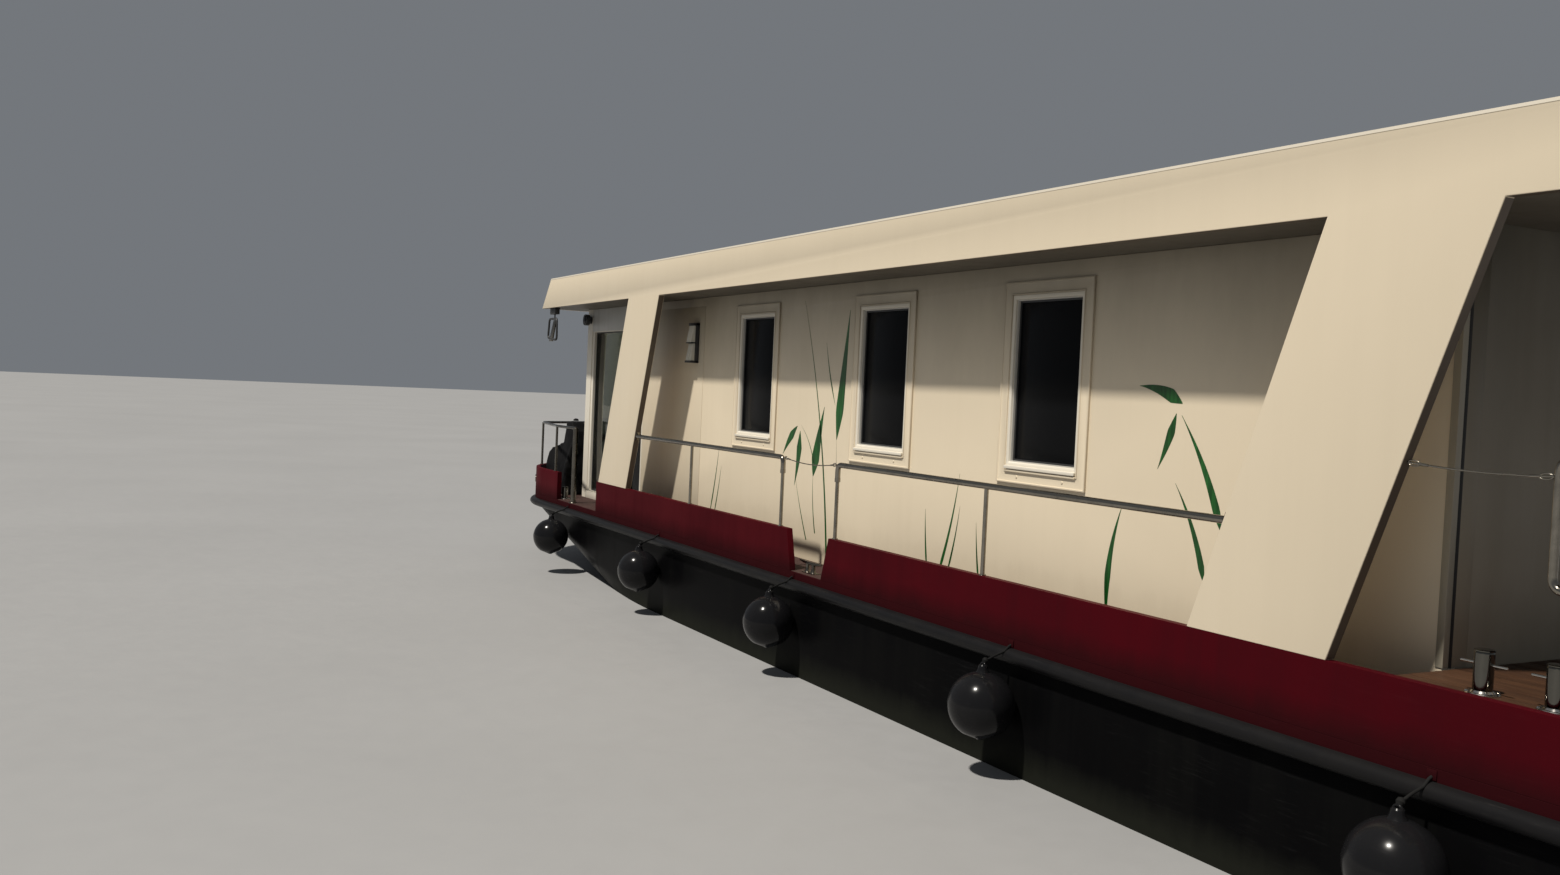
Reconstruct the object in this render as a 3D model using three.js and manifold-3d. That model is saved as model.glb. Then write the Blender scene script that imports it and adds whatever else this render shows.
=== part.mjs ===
// Steel houseboat with a flat-bottomed hull, a long cabin and a slab roof on slanted side frames.
// Millimetres. +X points to the bow, +Y to port, +Z up. The origin is the middle of the flat bottom.

import * as THREE from 'three';
import { mergeVertices } from 'three/addons/utils/BufferGeometryUtils.js';
import Module from 'manifold-3d';

const wasm = await Module();
wasm.setup();

// Driving dimensions

const GAP = 0.3; // clearance between pieces that touch

const BOW_X = 7435; // foremost point of the deck edge
const STERN_X = -7435; // transom
const HALF_BEAM = 2200; // outer side of hull, bulwark and side frame
const BOW_RADIUS = 1470; // corner radius of the deck edge at the bow

const HULL_TOP = 1240;
const DECK_TOP = 1334;
const BULWARK_TOP = 1654;
const BULWARK_THICK = 50;
const TERRACE_TOP = 1640; // walking surface of the stern terrace
const PLANK_THICK = 28;
const TERRACE_FRONT_X = -5575; // where the raised terrace ends, just aft of the cabin
const RAIL_TOP = 2197; // centre of the side handrails

const RUB_RAIL_LOW = 1190;
const RUB_RAIL_HIGH = 1280;
const RUB_RAIL_PROUD = 60;

const FENDER_RADIUS = 195;
const FENDER_Z = 960;
const FENDER_FIRST_X = 4910;
const FENDER_STEP = 2690;
const FENDER_COUNT = 5;
const FENDER_SWEEP = 0.94 * Math.PI; // angle from the lowest point of the ball to the start of its neck
const FENDER_RINGS = 7;
const FENDER_NECK = [[32, -4], [26, 34], [0, 34]]; // radius and height over the top of the ball
const FENDER_STRAP = { radius: 9, low: 10, out: 60, high: 66, end: 14 };

const WALL_OUT = 1760; // outer face of the cabin's side walls
const WALL_THICK = 90;
const WALL_IN = WALL_OUT - WALL_THICK;
const CABIN_AFT_X = -5560;
const WALL_FRONT_X = 3858; // where the solid side wall ends and the glass begins
const POST_AFT_X = 5585; // white corner post of the glazed front
const CABIN_FRONT_X = 5745;
const SOFFIT = 3584; // level with the lower edge of the roof's side band
const FLOOR_THICK = 30;

const BAND_LOW = 3584; // lower edge of the roof's side band
const BAND_TOP = 3926;
const ROOF_TOP = 3900;
const FRAME_THICK = 60;
const FASCIA_THICK = 60;
const ROOF_FRONT_LOW_X = 6186;
const ROOF_AFT_LOW_X = -7050;
const ROOF_END_LEAN = 308; // how far the slanted roof ends lean over their height
const PILLAR_SLOPE = 0.355; // forward travel per millimetre of drop
const PILLAR_WIDTH = 810;

const WINDOW_X = [1186, -920, -2799];
const GLASS_WIDTH = 630;
const GLASS_LOW = 2330;
const GLASS_HIGH = 3363;
const CASING_WIDTH = 850;
const CASING_LOW = 2195;
const CASING_HIGH = 3476;

const GATE = { frontTop: -334, frontLow: -419, aftTop: -985, aftLow: -889 }; // side gate in the bulwark
const BULWARK_FRONT_X = 4021;
const BOW_BULWARK_AFT_X = 5350;

const HATCH = { aft: -6715, front: -5635, halfWidth: 475, gap: 5 };
const WELL = { aft: -6660, front: -5690, halfWidth: 410, floor: 560 };
const ENGINE = { aft: -6560, front: -5800, halfWidth: 270, top: 1230 };

const RUDDER_X = -7080;
const SHAFT_Z = 268;
const PROPELLER_X = -6800;
const PROPELLER_RADIUS = 205;
const SKEG_END_X = -6640;
const STOCK_RADIUS = 30;
const PIN_RADIUS = 16;
const SHAFT_RADIUS = 22;
const STERN_TUBE = { length: 700, radius: 52, bore: 240, shaft: 232 };
const RUNNING = 0.4; // radial play of a shaft or pin in its bearing

// Outlines of the hull from the flat bottom up: the stern rises in a straight counter.
const COUNTER_SLOPE = 0.2041; // rise per millimetre aft
const COUNTER_START_X = -4300;
const HULL_LINES = [
  { z: 0, beam: 2080, start: 1700, tip: 5600, nose: 100 },
  { z: 120, beam: 2200, start: 1800, tip: 5850, nose: 110 },
  { z: 550, beam: 2200, start: 2300, tip: 6500, nose: 150 },
  { z: 640, beam: 2200, start: 2800, tip: 6610, nose: 210 },
  { z: 920, beam: 2200, start: 4400, tip: 6930, nose: 420 },
  { z: HULL_TOP, beam: HALF_BEAM, start: BOW_X - BOW_RADIUS, tip: BOW_X, nose: HALF_BEAM - BOW_RADIUS },
];

const OVERCUT = 10; // how far a cutting solid runs past the face that it cuts
const SINK = 1; // how deep a fitting is let into the face that carries it
const ROUND = 16; // sides of a thick bar

// Sizes of the skeg, its heel bar under the propeller, and the rudder that turns in them.
const SKEG = { halfWidth: 30, startX: COUNTER_START_X + 400, startZ: 80, top: 600, heelTop: 40 };
const HEEL = { reach: 80, padRadius: 48, padTop: 50 };
const RUDDER = {
  low: 60, high: 505, stockTop: 1000, stockBore: 300, stockSunk: 100,
  pinLow: 16, pinRoom: 4, pinSunk: 30, collarRadius: 24, collarSunk: 5,
};
const RUDDER_PROFILE = [[90, 0], [60, 20], [-40, 26], [-330, 6]]; // along and across from the stock

// Sizes of the propeller: hub profile as radius and place along the shaft, and one blade's outline.
const HUB_PROFILE = [[0, -70], [22, -62], [42, -25], [42, 45], [34, 60], [0, 60]];
const BLADE = { count: 4, rootHalf: 28, bulge: 90, thick: 9, pitch: 0.42, root: 12, tipDrop: 12 };

const FRONT_PILLAR_X = 2472; // upper aft corner of each pillar, under the band
const REAR_PILLAR_X = -5999;

const HATCH_AXIS = { x: HATCH.front + HATCH.gap, z: TERRACE_TOP + 8 };
const HATCH_HINGE = {
  y: [-330, 330], eye: 28, eyeWall: 2, lugHalf: 5, lugLong: 34, lugTop: 3, leafLong: 70, leafTop: 6,
  leafLap: 3, knuckleHalf: 20, pin: 5, pinProud: 4, knuckle: 7.6,
};

// Sizes of a window: its hole in the wall, the sash in it and the depths from the wall's outer face.
const HOLE = { half: 355, low: CASING_LOW + 68, high: CASING_HIGH - 66 };
const SASH = { play: 1, back: 66, proud: 8, paneOut: 36, paneIn: 54 };
const CASING = { proud: 14, stepHalf: 340, stepEdge: 85, stepDepth: 4 };

const SIDE_GLASS = { low: 1431, high: 3310, edge: 60, pane: 16, setback: 10 };
const DOORWAY = { low: 1662, high: 3545, starboard: -60, port: 860 }; // in the aft wall
const DOOR_AXIS = { x: CABIN_AFT_X + WALL_THICK + 14, y: DOORWAY.port - 2 };
const DOOR_HINGE = { z: [1850, 2600, 3350], pin: 6, pinProud: 4, height: 46, wall: 4, wing: 50 };
const DOOR_HINGE_PLATE = { near: 14, far: 60, thick: 5, low: -30, high: 60, seat: 12, seatFar: 42 };
const DOOR_HANDLE = { z: 2650, starboard: 20, port: 150, post: 29, reach: 45, radius: 9, sunk: 5 };
const DOOR_LEAF = { setback: 25, inside: 5, frame: 105, recess: 20 }; // glazed door in the aft wall
const DOOR_GAP = { hinged: 6, free: 10, ends: 6 };
const FRONT = { sill: 1424, header: 3310, middle: 40, postInner: 1500, setback: 20, edge: 60, recess: 16 };
const TRACK = { x: 5610, width: 12, halfLong: 1640, low: DECK_TOP + FLOOR_THICK, high: 1424, bed: 20 };
const SLIDE_DOOR = { aft: 5592, front: 5632, port: -20, starboard: -1560, low: 1430, high: 3330 };
const SLIDE_LEAF = { frame: 95, recess: 12, shoe: 200, shoeHalf: 60, shoeReach: 12 };
const SLIDE_GRIP = { far: 70, near: 40, low: 2350, high: 2650, proud: 14 };

const RAIL_Y = HALF_BEAM - 28;
const RAIL_RADIUS = 20;
const RAIL_FLANGE = { thick: 8, reach: 40, halfWidth: 20 };
const RAIL_END_CUT = { near: -20, far: 4, reach: 60 }; // where the tube ends along a pillar
const POST_RADIUS = 14;
const POST_FOOT = { radius: 22, thick: 8 };
const HANDRAIL_POST_X = { front: 1594, aft: -2811 }; // posts between gate and pillar
const GATE_POST_X = { front: -177, aft: -1029 }; // posts on both sides of the side gate
const BOW_RAIL_Z = 2185;
const BOW_RAIL = [[4915, 2147], [5530, 2168], [6700, 1970], [7405, 700]]; // X and Y of its posts to port
const BOW_RAIL_RADIUS = 16;
const BOW_END_POST = { radius: 30, foot: 50, thick: 10, proud: 4 };
const STERN_RAIL = {
  top: 2590, low: 2098, y: 2100, frontX: -6216, aftX: -7330, tube: 17, corner: 50, aftInset: 22,
};
const STERN_RAIL_POST = { sideFront: -6476, sideAft: -7170, across: [-1200, 0, 1200], foot: 42, thick: 8 };
const WIRE_RADIUS = 4;
const SIDE_WIRE_SAG = 28;
const STERN_WIRE = { eye: 50, end: 65, sag: 12 }; // depths of its two ends under the top of the stern rail
const STERN_WIRE_EYE = { inset: 30, off: 2, slack: 0.8 };

const STERN_POSTS_X = [-5944, -6236]; // bollards, which stand on a steel plate under the planks
const STERN_POST_Y = 2060;
const STERN_POST = { height: 182, radius: 38, flange: 66, pinHeight: 122, pinHalf: 100 };
const BOLLARD_FLANGE = 10;
const BOLLARD_PIN_RADIUS = 6.5;
const POST_PLATE = { thick: 8, halfWidth: 60, overhang: 70 };
const BOW_BOLLARD = { x: 5400, y: 2085, height: 150, radius: 34, flange: 60, pinHeight: 100, pinHalf: 85 };
const CLEAT = { x: -580, y: 2110, halfLong: 90, halfWide: 30, thick: 10, leg: 45, legRadius: 16 };
const CLEAT_HORN = { half: 165, height: 78, radius: 13, legDrop: 3 };
const FAIRLEAD = { x: 6420, z: 1500, halfLong: 62, halfHigh: 38, depth: 400, sides: 16 };
const WALL_LAMP = { x: 2510, low: 2951, high: 3340, plateHalf: 62, plate: 16 };
const WALL_LAMP_COVER = { half: 50, reach: 92, gap: 12 };
const WALL_LAMP_RIM = { thick: 10, reach: 98, start: 2 };
const DECK_LAMP = {
  x: 5636, z: 3455, radius: 66, plate: 44, plateThick: 8, arm: 14, armLap: 4, bodyStart: 20, reach: 90,
};
const HELM = { x: 4900, y: -1050, halfWidth: 420, wheelX: 4800, wheelZ: 2340 };
const HELM_SHAFT = { radius: 14, boss: 32, bossStart: 30, bossSunk: 40, bore: 18 };
const HELM_RIM = { radius: 190, tube: 14, spoke: 9, hub: 38, hubHalf: 18, spindle: 110 };

// Sloped top of the helm console: along from its back, and height over the wheel's centre.
const HELM_DESK = [[480, 20], [300, 120], [-20, 100], [0, -240]];

// Covered winch: place, and outline of its cloth cover along the boat and up from the deck.
const WINCH = { x: 6060, y: 1760, halfWidth: 190 };
const WINCH_COVER = [
  [-190, 0], [550, 0], [600, 330], [490, 500], [170, 640], [100, 896], [-100, 916], [-170, 786],
];

// Finishes

const finish = (color, roughness, metalness = 0) =>
  new THREE.MeshStandardMaterial({ color, roughness, metalness });
const cream = finish(0xd3c4aa, 0.45);
const white = finish(0xe6e4de, 0.35);
const burgundy = finish(0x4b1016, 0.3);
const blackPaint = finish(0x14151a, 0.35);
const rubber = finish(0x1b1d20, 0.4);
const steel = finish(0xb4b7b8, 0.22, 1);
const bronze = finish(0x9a7a3c, 0.4, 1);
const castIron = finish(0x3c4a3f, 0.6, 0.4);
const teak = finish(0x6b442b, 0.6);
const laminate = finish(0x8a6f52, 0.5);
const darkGlass = finish(0x1c2225, 0.08);
const tintedGlass = finish(0x39453f, 0.08);
const milkGlass = finish(0xf2f1ea, 0.25);
const charcoal = finish(0x26282b, 0.5);
const blackCloth = finish(0x121214, 0.85);

// Solids

function asSolid(geometry) {
  const bare = geometry.index ? geometry.toNonIndexed() : geometry.clone();
  bare.deleteAttribute('normal');
  bare.deleteAttribute('uv');
  const merged = mergeVertices(bare, 1e-3);
  return new wasm.Manifold(new wasm.Mesh({
    numProp: 3,
    vertProperties: new Float32Array(merged.attributes.position.array),
    triVerts: new Uint32Array(merged.index.array),
  }));
}

const join = (...solids) => solids.flat().reduce((whole, next) => whole.add(next));
const cut = (whole, ...tools) => tools.flat().reduce((rest, tool) => rest.subtract(tool), whole);

function extrude(points, depth, options = {}) {
  const shape = new THREE.Shape(points.map(([u, v]) => new THREE.Vector2(u, v)));
  return new THREE.ExtrudeGeometry(shape, { depth, bevelEnabled: false, ...options });
}

// Outline in X and Y, from one height up to another.
function planPrism(points, low, high) {
  return asSolid(extrude(points, high - low).translate(0, 0, low));
}

// Outline in X and Z, across the boat from one side to the other.
function sidePrism(points, yLow, yHigh) {
  return asSolid(extrude(points, yHigh - yLow).rotateX(Math.PI / 2).translate(0, yHigh, 0));
}

function box(xLow, xHigh, yLow, yHigh, zLow, zHigh) {
  const geometry = new THREE.BoxGeometry(xHigh - xLow, yHigh - yLow, zHigh - zLow);
  return asSolid(geometry.translate((xLow + xHigh) / 2, (yLow + yHigh) / 2, (zLow + zHigh) / 2));
}

// Round bar between two points.
function rod(from, to, radius, sides = 8) {
  const start = new THREE.Vector3(...from);
  const run = new THREE.Vector3(...to).sub(start);
  const geometry = new THREE.CylinderGeometry(radius, radius, run.length(), sides);
  geometry.translate(0, run.length() / 2, 0);
  const turn = new THREE.Quaternion().setFromUnitVectors(new THREE.Vector3(0, 1, 0), run.normalize());
  return asSolid(geometry.applyQuaternion(turn).translate(start.x, start.y, start.z));
}

const rodX = (xLow, xHigh, y, z, radius, sides) => rod([xLow, y, z], [xHigh, y, z], radius, sides);
const rodY = (x, yLow, yHigh, z, radius, sides) => rod([x, yLow, z], [x, yHigh, z], radius, sides);
const rodZ = (x, y, zLow, zHigh, radius, sides) => rod([x, y, zLow], [x, y, zHigh], radius, sides);

// Radius of a faceted bore that a faceted bar of this radius turns freely in.
const boreRadius = (radius, sides) => (radius + RUNNING) / Math.cos(Math.PI / sides);

function ball([x, y, z], radius, sides = 8) {
  return asSolid(new THREE.SphereGeometry(radius, sides, Math.round(sides / 2)).translate(x, y, z));
}

// Bar along a broken line, with a ball in each bend.
function bentRod(points, radius, sides = 8) {
  const bars = points.slice(1).map((point, i) => rod(points[i], point, radius, sides));
  const bends = points.slice(1, -1).map((point) => ball(point, radius, sides));
  return join(bars, bends);
}

const mirrored = (solid) => solid.mirror([0, 1, 0]);

const houseboat = new THREE.Group();
houseboat.name = 'houseboat';

function addPiece(name, solid, material) {
  const { vertProperties, triVerts } = solid.getMesh();
  const geometry = new THREE.BufferGeometry();
  geometry.setAttribute('position', new THREE.BufferAttribute(new Float32Array(vertProperties), 3));
  geometry.setIndex(new THREE.BufferAttribute(new Uint32Array(triVerts), 1));
  const mesh = new THREE.Mesh(geometry, material);
  mesh.name = name;
  houseboat.add(mesh);
}

// The same piece on both sides of the boat, given its port shape.
function addBothSides(name, solid, material) {
  addPiece(`${name}_port`, solid, material);
  addPiece(`${name}_starboard`, mirrored(solid), material);
}

// Plan outlines

// Deck-level outline: straight sides and a quarter ellipse on each side of a flat nose.
function planOutline({ stern, beam, start, tip, nose, steps = 8 }) {
  const quarter = [];
  for (let i = 0; i <= steps; i += 1) {
    const angle = (i / steps) * Math.PI / 2;
    quarter.push([start + (tip - start) * Math.sin(angle), nose + (beam - nose) * Math.cos(angle)]);
  }
  const starboard = quarter.map(([x, y]) => [x, -y]);
  return [[stern, -beam], ...starboard, ...quarter.reverse(), [stern, beam]];
}

const deckOutline = (inset = 0) => planOutline({
  stern: STERN_X + inset,
  beam: HALF_BEAM - inset,
  start: BOW_X - BOW_RADIUS,
  tip: BOW_X - inset,
  nose: HALF_BEAM - BOW_RADIUS,
});

// Hull

function loft(lines) {
  const rings = lines.map((line) => planOutline({
    ...line, stern: Math.max(STERN_X, COUNTER_START_X - line.z / COUNTER_SLOPE) }));
  const count = rings[0].length;
  const position = rings.flatMap((ring, i) => ring.flatMap(([x, y]) => [x, y, lines[i].z]));
  const index = [];
  for (let i = 0; i + 1 < rings.length; i += 1) {
    for (let j = 0; j < count; j += 1) {
      const a = i * count + j;
      const b = i * count + ((j + 1) % count);
      index.push(a, b, b + count, a, b + count, a + count);
    }
  }
  const top = (rings.length - 1) * count;
  for (let j = 1; j + 1 < count; j += 1) {
    index.push(0, j + 1, j);
    index.push(top, top + j, top + j + 1);
  }
  const geometry = new THREE.BufferGeometry();
  geometry.setAttribute('position', new THREE.Float32BufferAttribute(position, 3));
  geometry.setIndex(index);
  return asSolid(geometry);
}

function buildHull() {
  const heelEnd = RUDDER_X - HEEL.reach;
  const skeg = sidePrism([
    [SKEG.startX, 0], [SKEG.startX, SKEG.startZ], [SKEG_END_X, SKEG.top],
    [SKEG_END_X, SKEG.heelTop], [heelEnd, SKEG.heelTop], [heelEnd, 0],
  ], -SKEG.halfWidth, SKEG.halfWidth);
  const sternTube = rodX(SKEG_END_X, SKEG_END_X + STERN_TUBE.length, 0, SHAFT_Z, STERN_TUBE.radius, ROUND);
  const heelPad = rodZ(RUDDER_X, 0, 0, HEEL.padTop, HEEL.padRadius, ROUND);
  const whole = join(loft(HULL_LINES), skeg, sternTube, heelPad);
  const shaftBore = rodX(SKEG_END_X - OVERCUT, SKEG_END_X + STERN_TUBE.bore, 0, SHAFT_Z,
    boreRadius(SHAFT_RADIUS, ROUND), ROUND);
  const stockBore = rodZ(RUDDER_X, 0, RUDDER.stockBore, RUDDER.stockTop + OVERCUT,
    boreRadius(STOCK_RADIUS, ROUND), ROUND);
  const pinBore = rodZ(RUDDER_X, 0, RUDDER.pinLow - RUDDER.pinRoom, HEEL.padTop + OVERCUT,
    boreRadius(PIN_RADIUS, ROUND), ROUND);
  const well = box(WELL.aft, WELL.front, -WELL.halfWidth, WELL.halfWidth, WELL.floor, HULL_TOP + OVERCUT);
  return cut(whole, shaftBore, stockBore, pinBore, well);
}

function buildRudder() {
  const half = RUDDER_PROFILE.map(([along, across]) => [RUDDER_X + along, across]);
  const otherHalf = half.slice(1).reverse().map(([x, y]) => [x, -y]);
  const { low, high, stockTop, stockSunk, pinLow, pinSunk, collarRadius, collarSunk } = RUDDER;
  const blade = planPrism([...half, ...otherHalf], low, high);
  const stock = rodZ(RUDDER_X, 0, high - stockSunk, stockTop, STOCK_RADIUS, ROUND);
  const pin = rodZ(RUDDER_X, 0, pinLow, low + pinSunk, PIN_RADIUS, ROUND);
  const collar = rodZ(RUDDER_X, 0, HEEL.padTop + GAP, low + collarSunk, collarRadius, ROUND);
  return join(blade, stock, pin, collar);
}

function buildPropeller() {
  const profile = HUB_PROFILE.map(([r, along]) => new THREE.Vector2(r, along));
  const hub = new THREE.LatheGeometry(profile, 24).rotateZ(-Math.PI / 2).translate(PROPELLER_X, 0, SHAFT_Z);
  const shaft = rodX(PROPELLER_X, SKEG_END_X + STERN_TUBE.shaft, 0, SHAFT_Z, SHAFT_RADIUS, ROUND);
  const { count, rootHalf, bulge, thick, pitch, root, tipDrop } = BLADE;
  const tip = PROPELLER_RADIUS - tipDrop;
  const outline = new THREE.Shape();
  outline.moveTo(-rootHalf, 0);
  outline.bezierCurveTo(-bulge, bulge, -bulge, 0.8 * PROPELLER_RADIUS, 0, tip);
  outline.bezierCurveTo(bulge, 0.8 * PROPELLER_RADIUS, bulge, bulge, rootHalf, 0);
  const solids = [asSolid(hub), shaft];
  for (let i = 0; i < count; i += 1) {
    const geometry = new THREE.ExtrudeGeometry(outline, {
      depth: thick, bevelEnabled: false, curveSegments: 7,
    });
    geometry.translate(0, root, -thick / 2);
    geometry.rotateY(Math.PI / 2 + pitch);
    geometry.rotateX((i / count) * 2 * Math.PI);
    solids.push(asSolid(geometry.translate(PROPELLER_X, 0, SHAFT_Z)));
  }
  return join(solids);
}

// Port half of the half-round rail around the deck edge, with the fenders that hang from it.
function buildRubRail() {
  const halfHigh = (RUB_RAIL_HIGH - RUB_RAIL_LOW) / 2;
  const middleZ = RUB_RAIL_LOW + halfHigh;
  const round = extrude(deckOutline(), 1, {
    bevelEnabled: true, bevelThickness: halfHigh, bevelSize: RUB_RAIL_PROUD, bevelSegments: 3,
  }).translate(0, 0, middleZ - 0.5);
  const centreY = HALF_BEAM + FENDER_RADIUS + 2;
  const profile = [[0, -FENDER_RADIUS]];
  for (let i = 1; i < FENDER_RINGS; i += 1) {
    const angle = (i / FENDER_RINGS) * FENDER_SWEEP;
    profile.push([FENDER_RADIUS * Math.sin(angle), -FENDER_RADIUS * Math.cos(angle)]);
  }
  profile.push(...FENDER_NECK.map(([r, over]) => [r, FENDER_RADIUS + over]));
  const crown = FENDER_Z + FENDER_RADIUS;
  const { radius, low, out, high, end } = FENDER_STRAP;
  const solids = [asSolid(round)];
  for (let i = 0; i < FENDER_COUNT; i += 1) {
    const x = FENDER_FIRST_X - i * FENDER_STEP;
    const body = new THREE.LatheGeometry(profile.map(([r, along]) => new THREE.Vector2(r, along)), 14);
    solids.push(asSolid(body.rotateX(Math.PI / 2).translate(x, centreY, FENDER_Z)), bentRod([
      [x, centreY, crown + low], [x, centreY - out, crown + high], [x, HALF_BEAM + end, middleZ],
    ], radius, 6));
  }
  const inside = planPrism(deckOutline(-GAP), RUB_RAIL_LOW - OVERCUT, RUB_RAIL_HIGH + OVERCUT);
  const reach = BOW_X + 2 * RUB_RAIL_PROUD;
  const otherHalf = box(-reach, reach, -reach, GAP / 2, RUB_RAIL_LOW - OVERCUT, RUB_RAIL_HIGH + OVERCUT);
  return cut(join(solids), inside, otherHalf);
}

function buildSternPlatform() {
  const rim = planPrism(deckOutline(BULWARK_THICK + GAP), DECK_TOP + GAP, TERRACE_TOP - PLANK_THICK - GAP);
  const forward = box(TERRACE_FRONT_X, BOW_X + OVERCUT, -HALF_BEAM, HALF_BEAM, 0, BAND_TOP);
  const well = box(WELL.aft, WELL.front, -WELL.halfWidth, WELL.halfWidth, 0, BAND_TOP);
  return cut(rim, forward, well);
}

function buildTerraceDeck() {
  const planks = planPrism(deckOutline(BULWARK_THICK + 2 * GAP), TERRACE_TOP - PLANK_THICK, TERRACE_TOP);
  const forward = box(TERRACE_FRONT_X, BOW_X + OVERCUT, -HALF_BEAM, HALF_BEAM, 0, BAND_TOP);
  const opening = box(HATCH.aft - HATCH.gap, HATCH.front + HATCH.gap,
    -HATCH.halfWidth - HATCH.gap, HATCH.halfWidth + HATCH.gap, 0, BAND_TOP);
  const room = bollardRoom();
  const deck = cut(planks, forward, opening, room, mirrored(room));
  const { eye, pin, pinProud } = HATCH_HINGE;
  const lugs = HATCH_HINGE.y.flatMap((y) => [hatchLug(y - eye), hatchLug(y + eye)]);
  const pins = HATCH_HINGE.y.map((y) =>
    rodY(HATCH_AXIS.x, y - eye - pinProud, y + eye + pinProud, HATCH_AXIS.z, pin));
  return join(deck, lugs, pins);
}

// Engine hatch: a planked lid that lies flush in the terrace and turns up about its front edge.
function hatchLug(y) {
  const { lugHalf, lugLong, lugTop, pin, eyeWall } = HATCH_HINGE;
  const eye = rodY(HATCH_AXIS.x, y - lugHalf, y + lugHalf, HATCH_AXIS.z, pin + eyeWall);
  const foot = box(HATCH_AXIS.x, HATCH_AXIS.x + lugLong, y - lugHalf, y + lugHalf,
    TERRACE_TOP - SINK, HATCH_AXIS.z + lugTop);
  return join(eye, foot);
}

function buildHatch() {
  const lid = box(HATCH.aft, HATCH.front, -HATCH.halfWidth, HATCH.halfWidth,
    TERRACE_TOP - PLANK_THICK, TERRACE_TOP);
  const { x, z } = HATCH_AXIS;
  const { leafLong, leafTop, leafLap, knuckleHalf, pin, knuckle } = HATCH_HINGE;
  const knuckles = HATCH_HINGE.y.map((y) => cut(
    join(
      rodY(x, y - knuckleHalf, y + knuckleHalf, z, knuckle),
      box(x - leafLong, x - leafLap, y - knuckleHalf, y + knuckleHalf,
        TERRACE_TOP - SINK, TERRACE_TOP + leafTop)),
    rodY(x, y - knuckleHalf - OVERCUT, y + knuckleHalf + OVERCUT, z, boreRadius(pin, 8))));
  return join(lid, knuckles);
}

// Bulwarks

function buildBulwarks() {
  const outer = planPrism(deckOutline(), DECK_TOP + GAP, BULWARK_TOP);
  const [low, high] = [DECK_TOP - OVERCUT, BULWARK_TOP + OVERCUT];
  const inner = planPrism(deckOutline(BULWARK_THICK), low, high);
  const ring = cut(outer, inner);
  const portAft = sidePrism([
    [STERN_X - OVERCUT, low], [GATE.aftLow, low], [GATE.aftTop, high], [STERN_X - OVERCUT, high],
  ], GAP / 2, HALF_BEAM + OVERCUT);
  const portFront = sidePrism([
    [GATE.frontLow, low], [BULWARK_FRONT_X, low], [BULWARK_FRONT_X, high], [GATE.frontTop, high],
  ], 0, HALF_BEAM + OVERCUT);
  const half = HALF_BEAM + OVERCUT;
  const bow = box(BOW_BULWARK_AFT_X, BOW_X + OVERCUT, -half, half, 0, BAND_TOP);
  addBothSides('bulwark_aft', ring.intersect(portAft), burgundy);
  addBothSides('bulwark_front', ring.intersect(portFront), burgundy);
  const fairlead = fairleadHole();
  addPiece('bow_bulwark', cut(ring.intersect(bow), fairlead, mirrored(fairlead)), burgundy);
}

// Oval mooring hole through the rounded part of the bow bulwark.
function fairleadHole() {
  const oval = [];
  for (let i = 0; i < FAIRLEAD.sides; i += 1) {
    const angle = (i / FAIRLEAD.sides) * 2 * Math.PI;
    const [across, up] = [FAIRLEAD.halfLong * Math.cos(angle), FAIRLEAD.halfHigh * Math.sin(angle)];
    oval.push([FAIRLEAD.x + across, FAIRLEAD.z + up]);
  }
  return sidePrism(oval, HALF_BEAM - FAIRLEAD.depth, HALF_BEAM + OVERCUT);
}

// Cabin

function buildSideWall() {
  const wall = box(CABIN_AFT_X, WALL_FRONT_X, WALL_IN, WALL_OUT, DECK_TOP + GAP, SOFFIT - GAP);
  return cut(wall, WINDOW_X.map((x) =>
    box(x - HOLE.half, x + HOLE.half, WALL_IN - OVERCUT, WALL_OUT + OVERCUT, HOLE.low, HOLE.high)));
}

// Window unit: casing on the wall, sash in the hole and the pane in the sash, as one solid.
function buildWindow(x) {
  const half = CASING_WIDTH / 2;
  const casing = box(x - half, x + half, WALL_OUT + GAP, WALL_OUT + CASING.proud, CASING_LOW, CASING_HIGH);
  const sashHalf = HOLE.half - SASH.play;
  const sash = box(x - sashHalf, x + sashHalf, WALL_OUT - SASH.back, WALL_OUT + SASH.proud,
    HOLE.low + SASH.play, HOLE.high - SASH.play);
  const recess = (yLow, yHigh) =>
    box(x - GLASS_WIDTH / 2, x + GLASS_WIDTH / 2, yLow, yHigh, GLASS_LOW, GLASS_HIGH);
  const outside = WALL_OUT + CASING.proud + OVERCUT;
  const front = recess(WALL_OUT - SASH.paneOut, outside);
  const back = recess(WALL_IN, WALL_OUT - SASH.paneIn);
  const step = box(x - CASING.stepHalf, x + CASING.stepHalf, WALL_OUT - CASING.stepDepth, outside,
    CASING_LOW + CASING.stepEdge, CASING_HIGH - CASING.stepEdge);
  return cut(join(casing, sash), front, back, step);
}

function buildSideGlazing() {
  const { low, high, edge, pane, setback } = SIDE_GLASS;
  const frame = box(WALL_FRONT_X + GAP, POST_AFT_X - GAP, WALL_IN + setback, WALL_OUT - setback,
    DECK_TOP + GAP, SOFFIT - GAP);
  const middle = (WALL_IN + WALL_OUT) / 2;
  const light = (yLow, yHigh) => box(WALL_FRONT_X + edge, POST_AFT_X - edge, yLow, yHigh, low, high);
  return cut(frame, light(middle + pane / 2, WALL_OUT), light(WALL_IN, middle - pane / 2));
}

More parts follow.
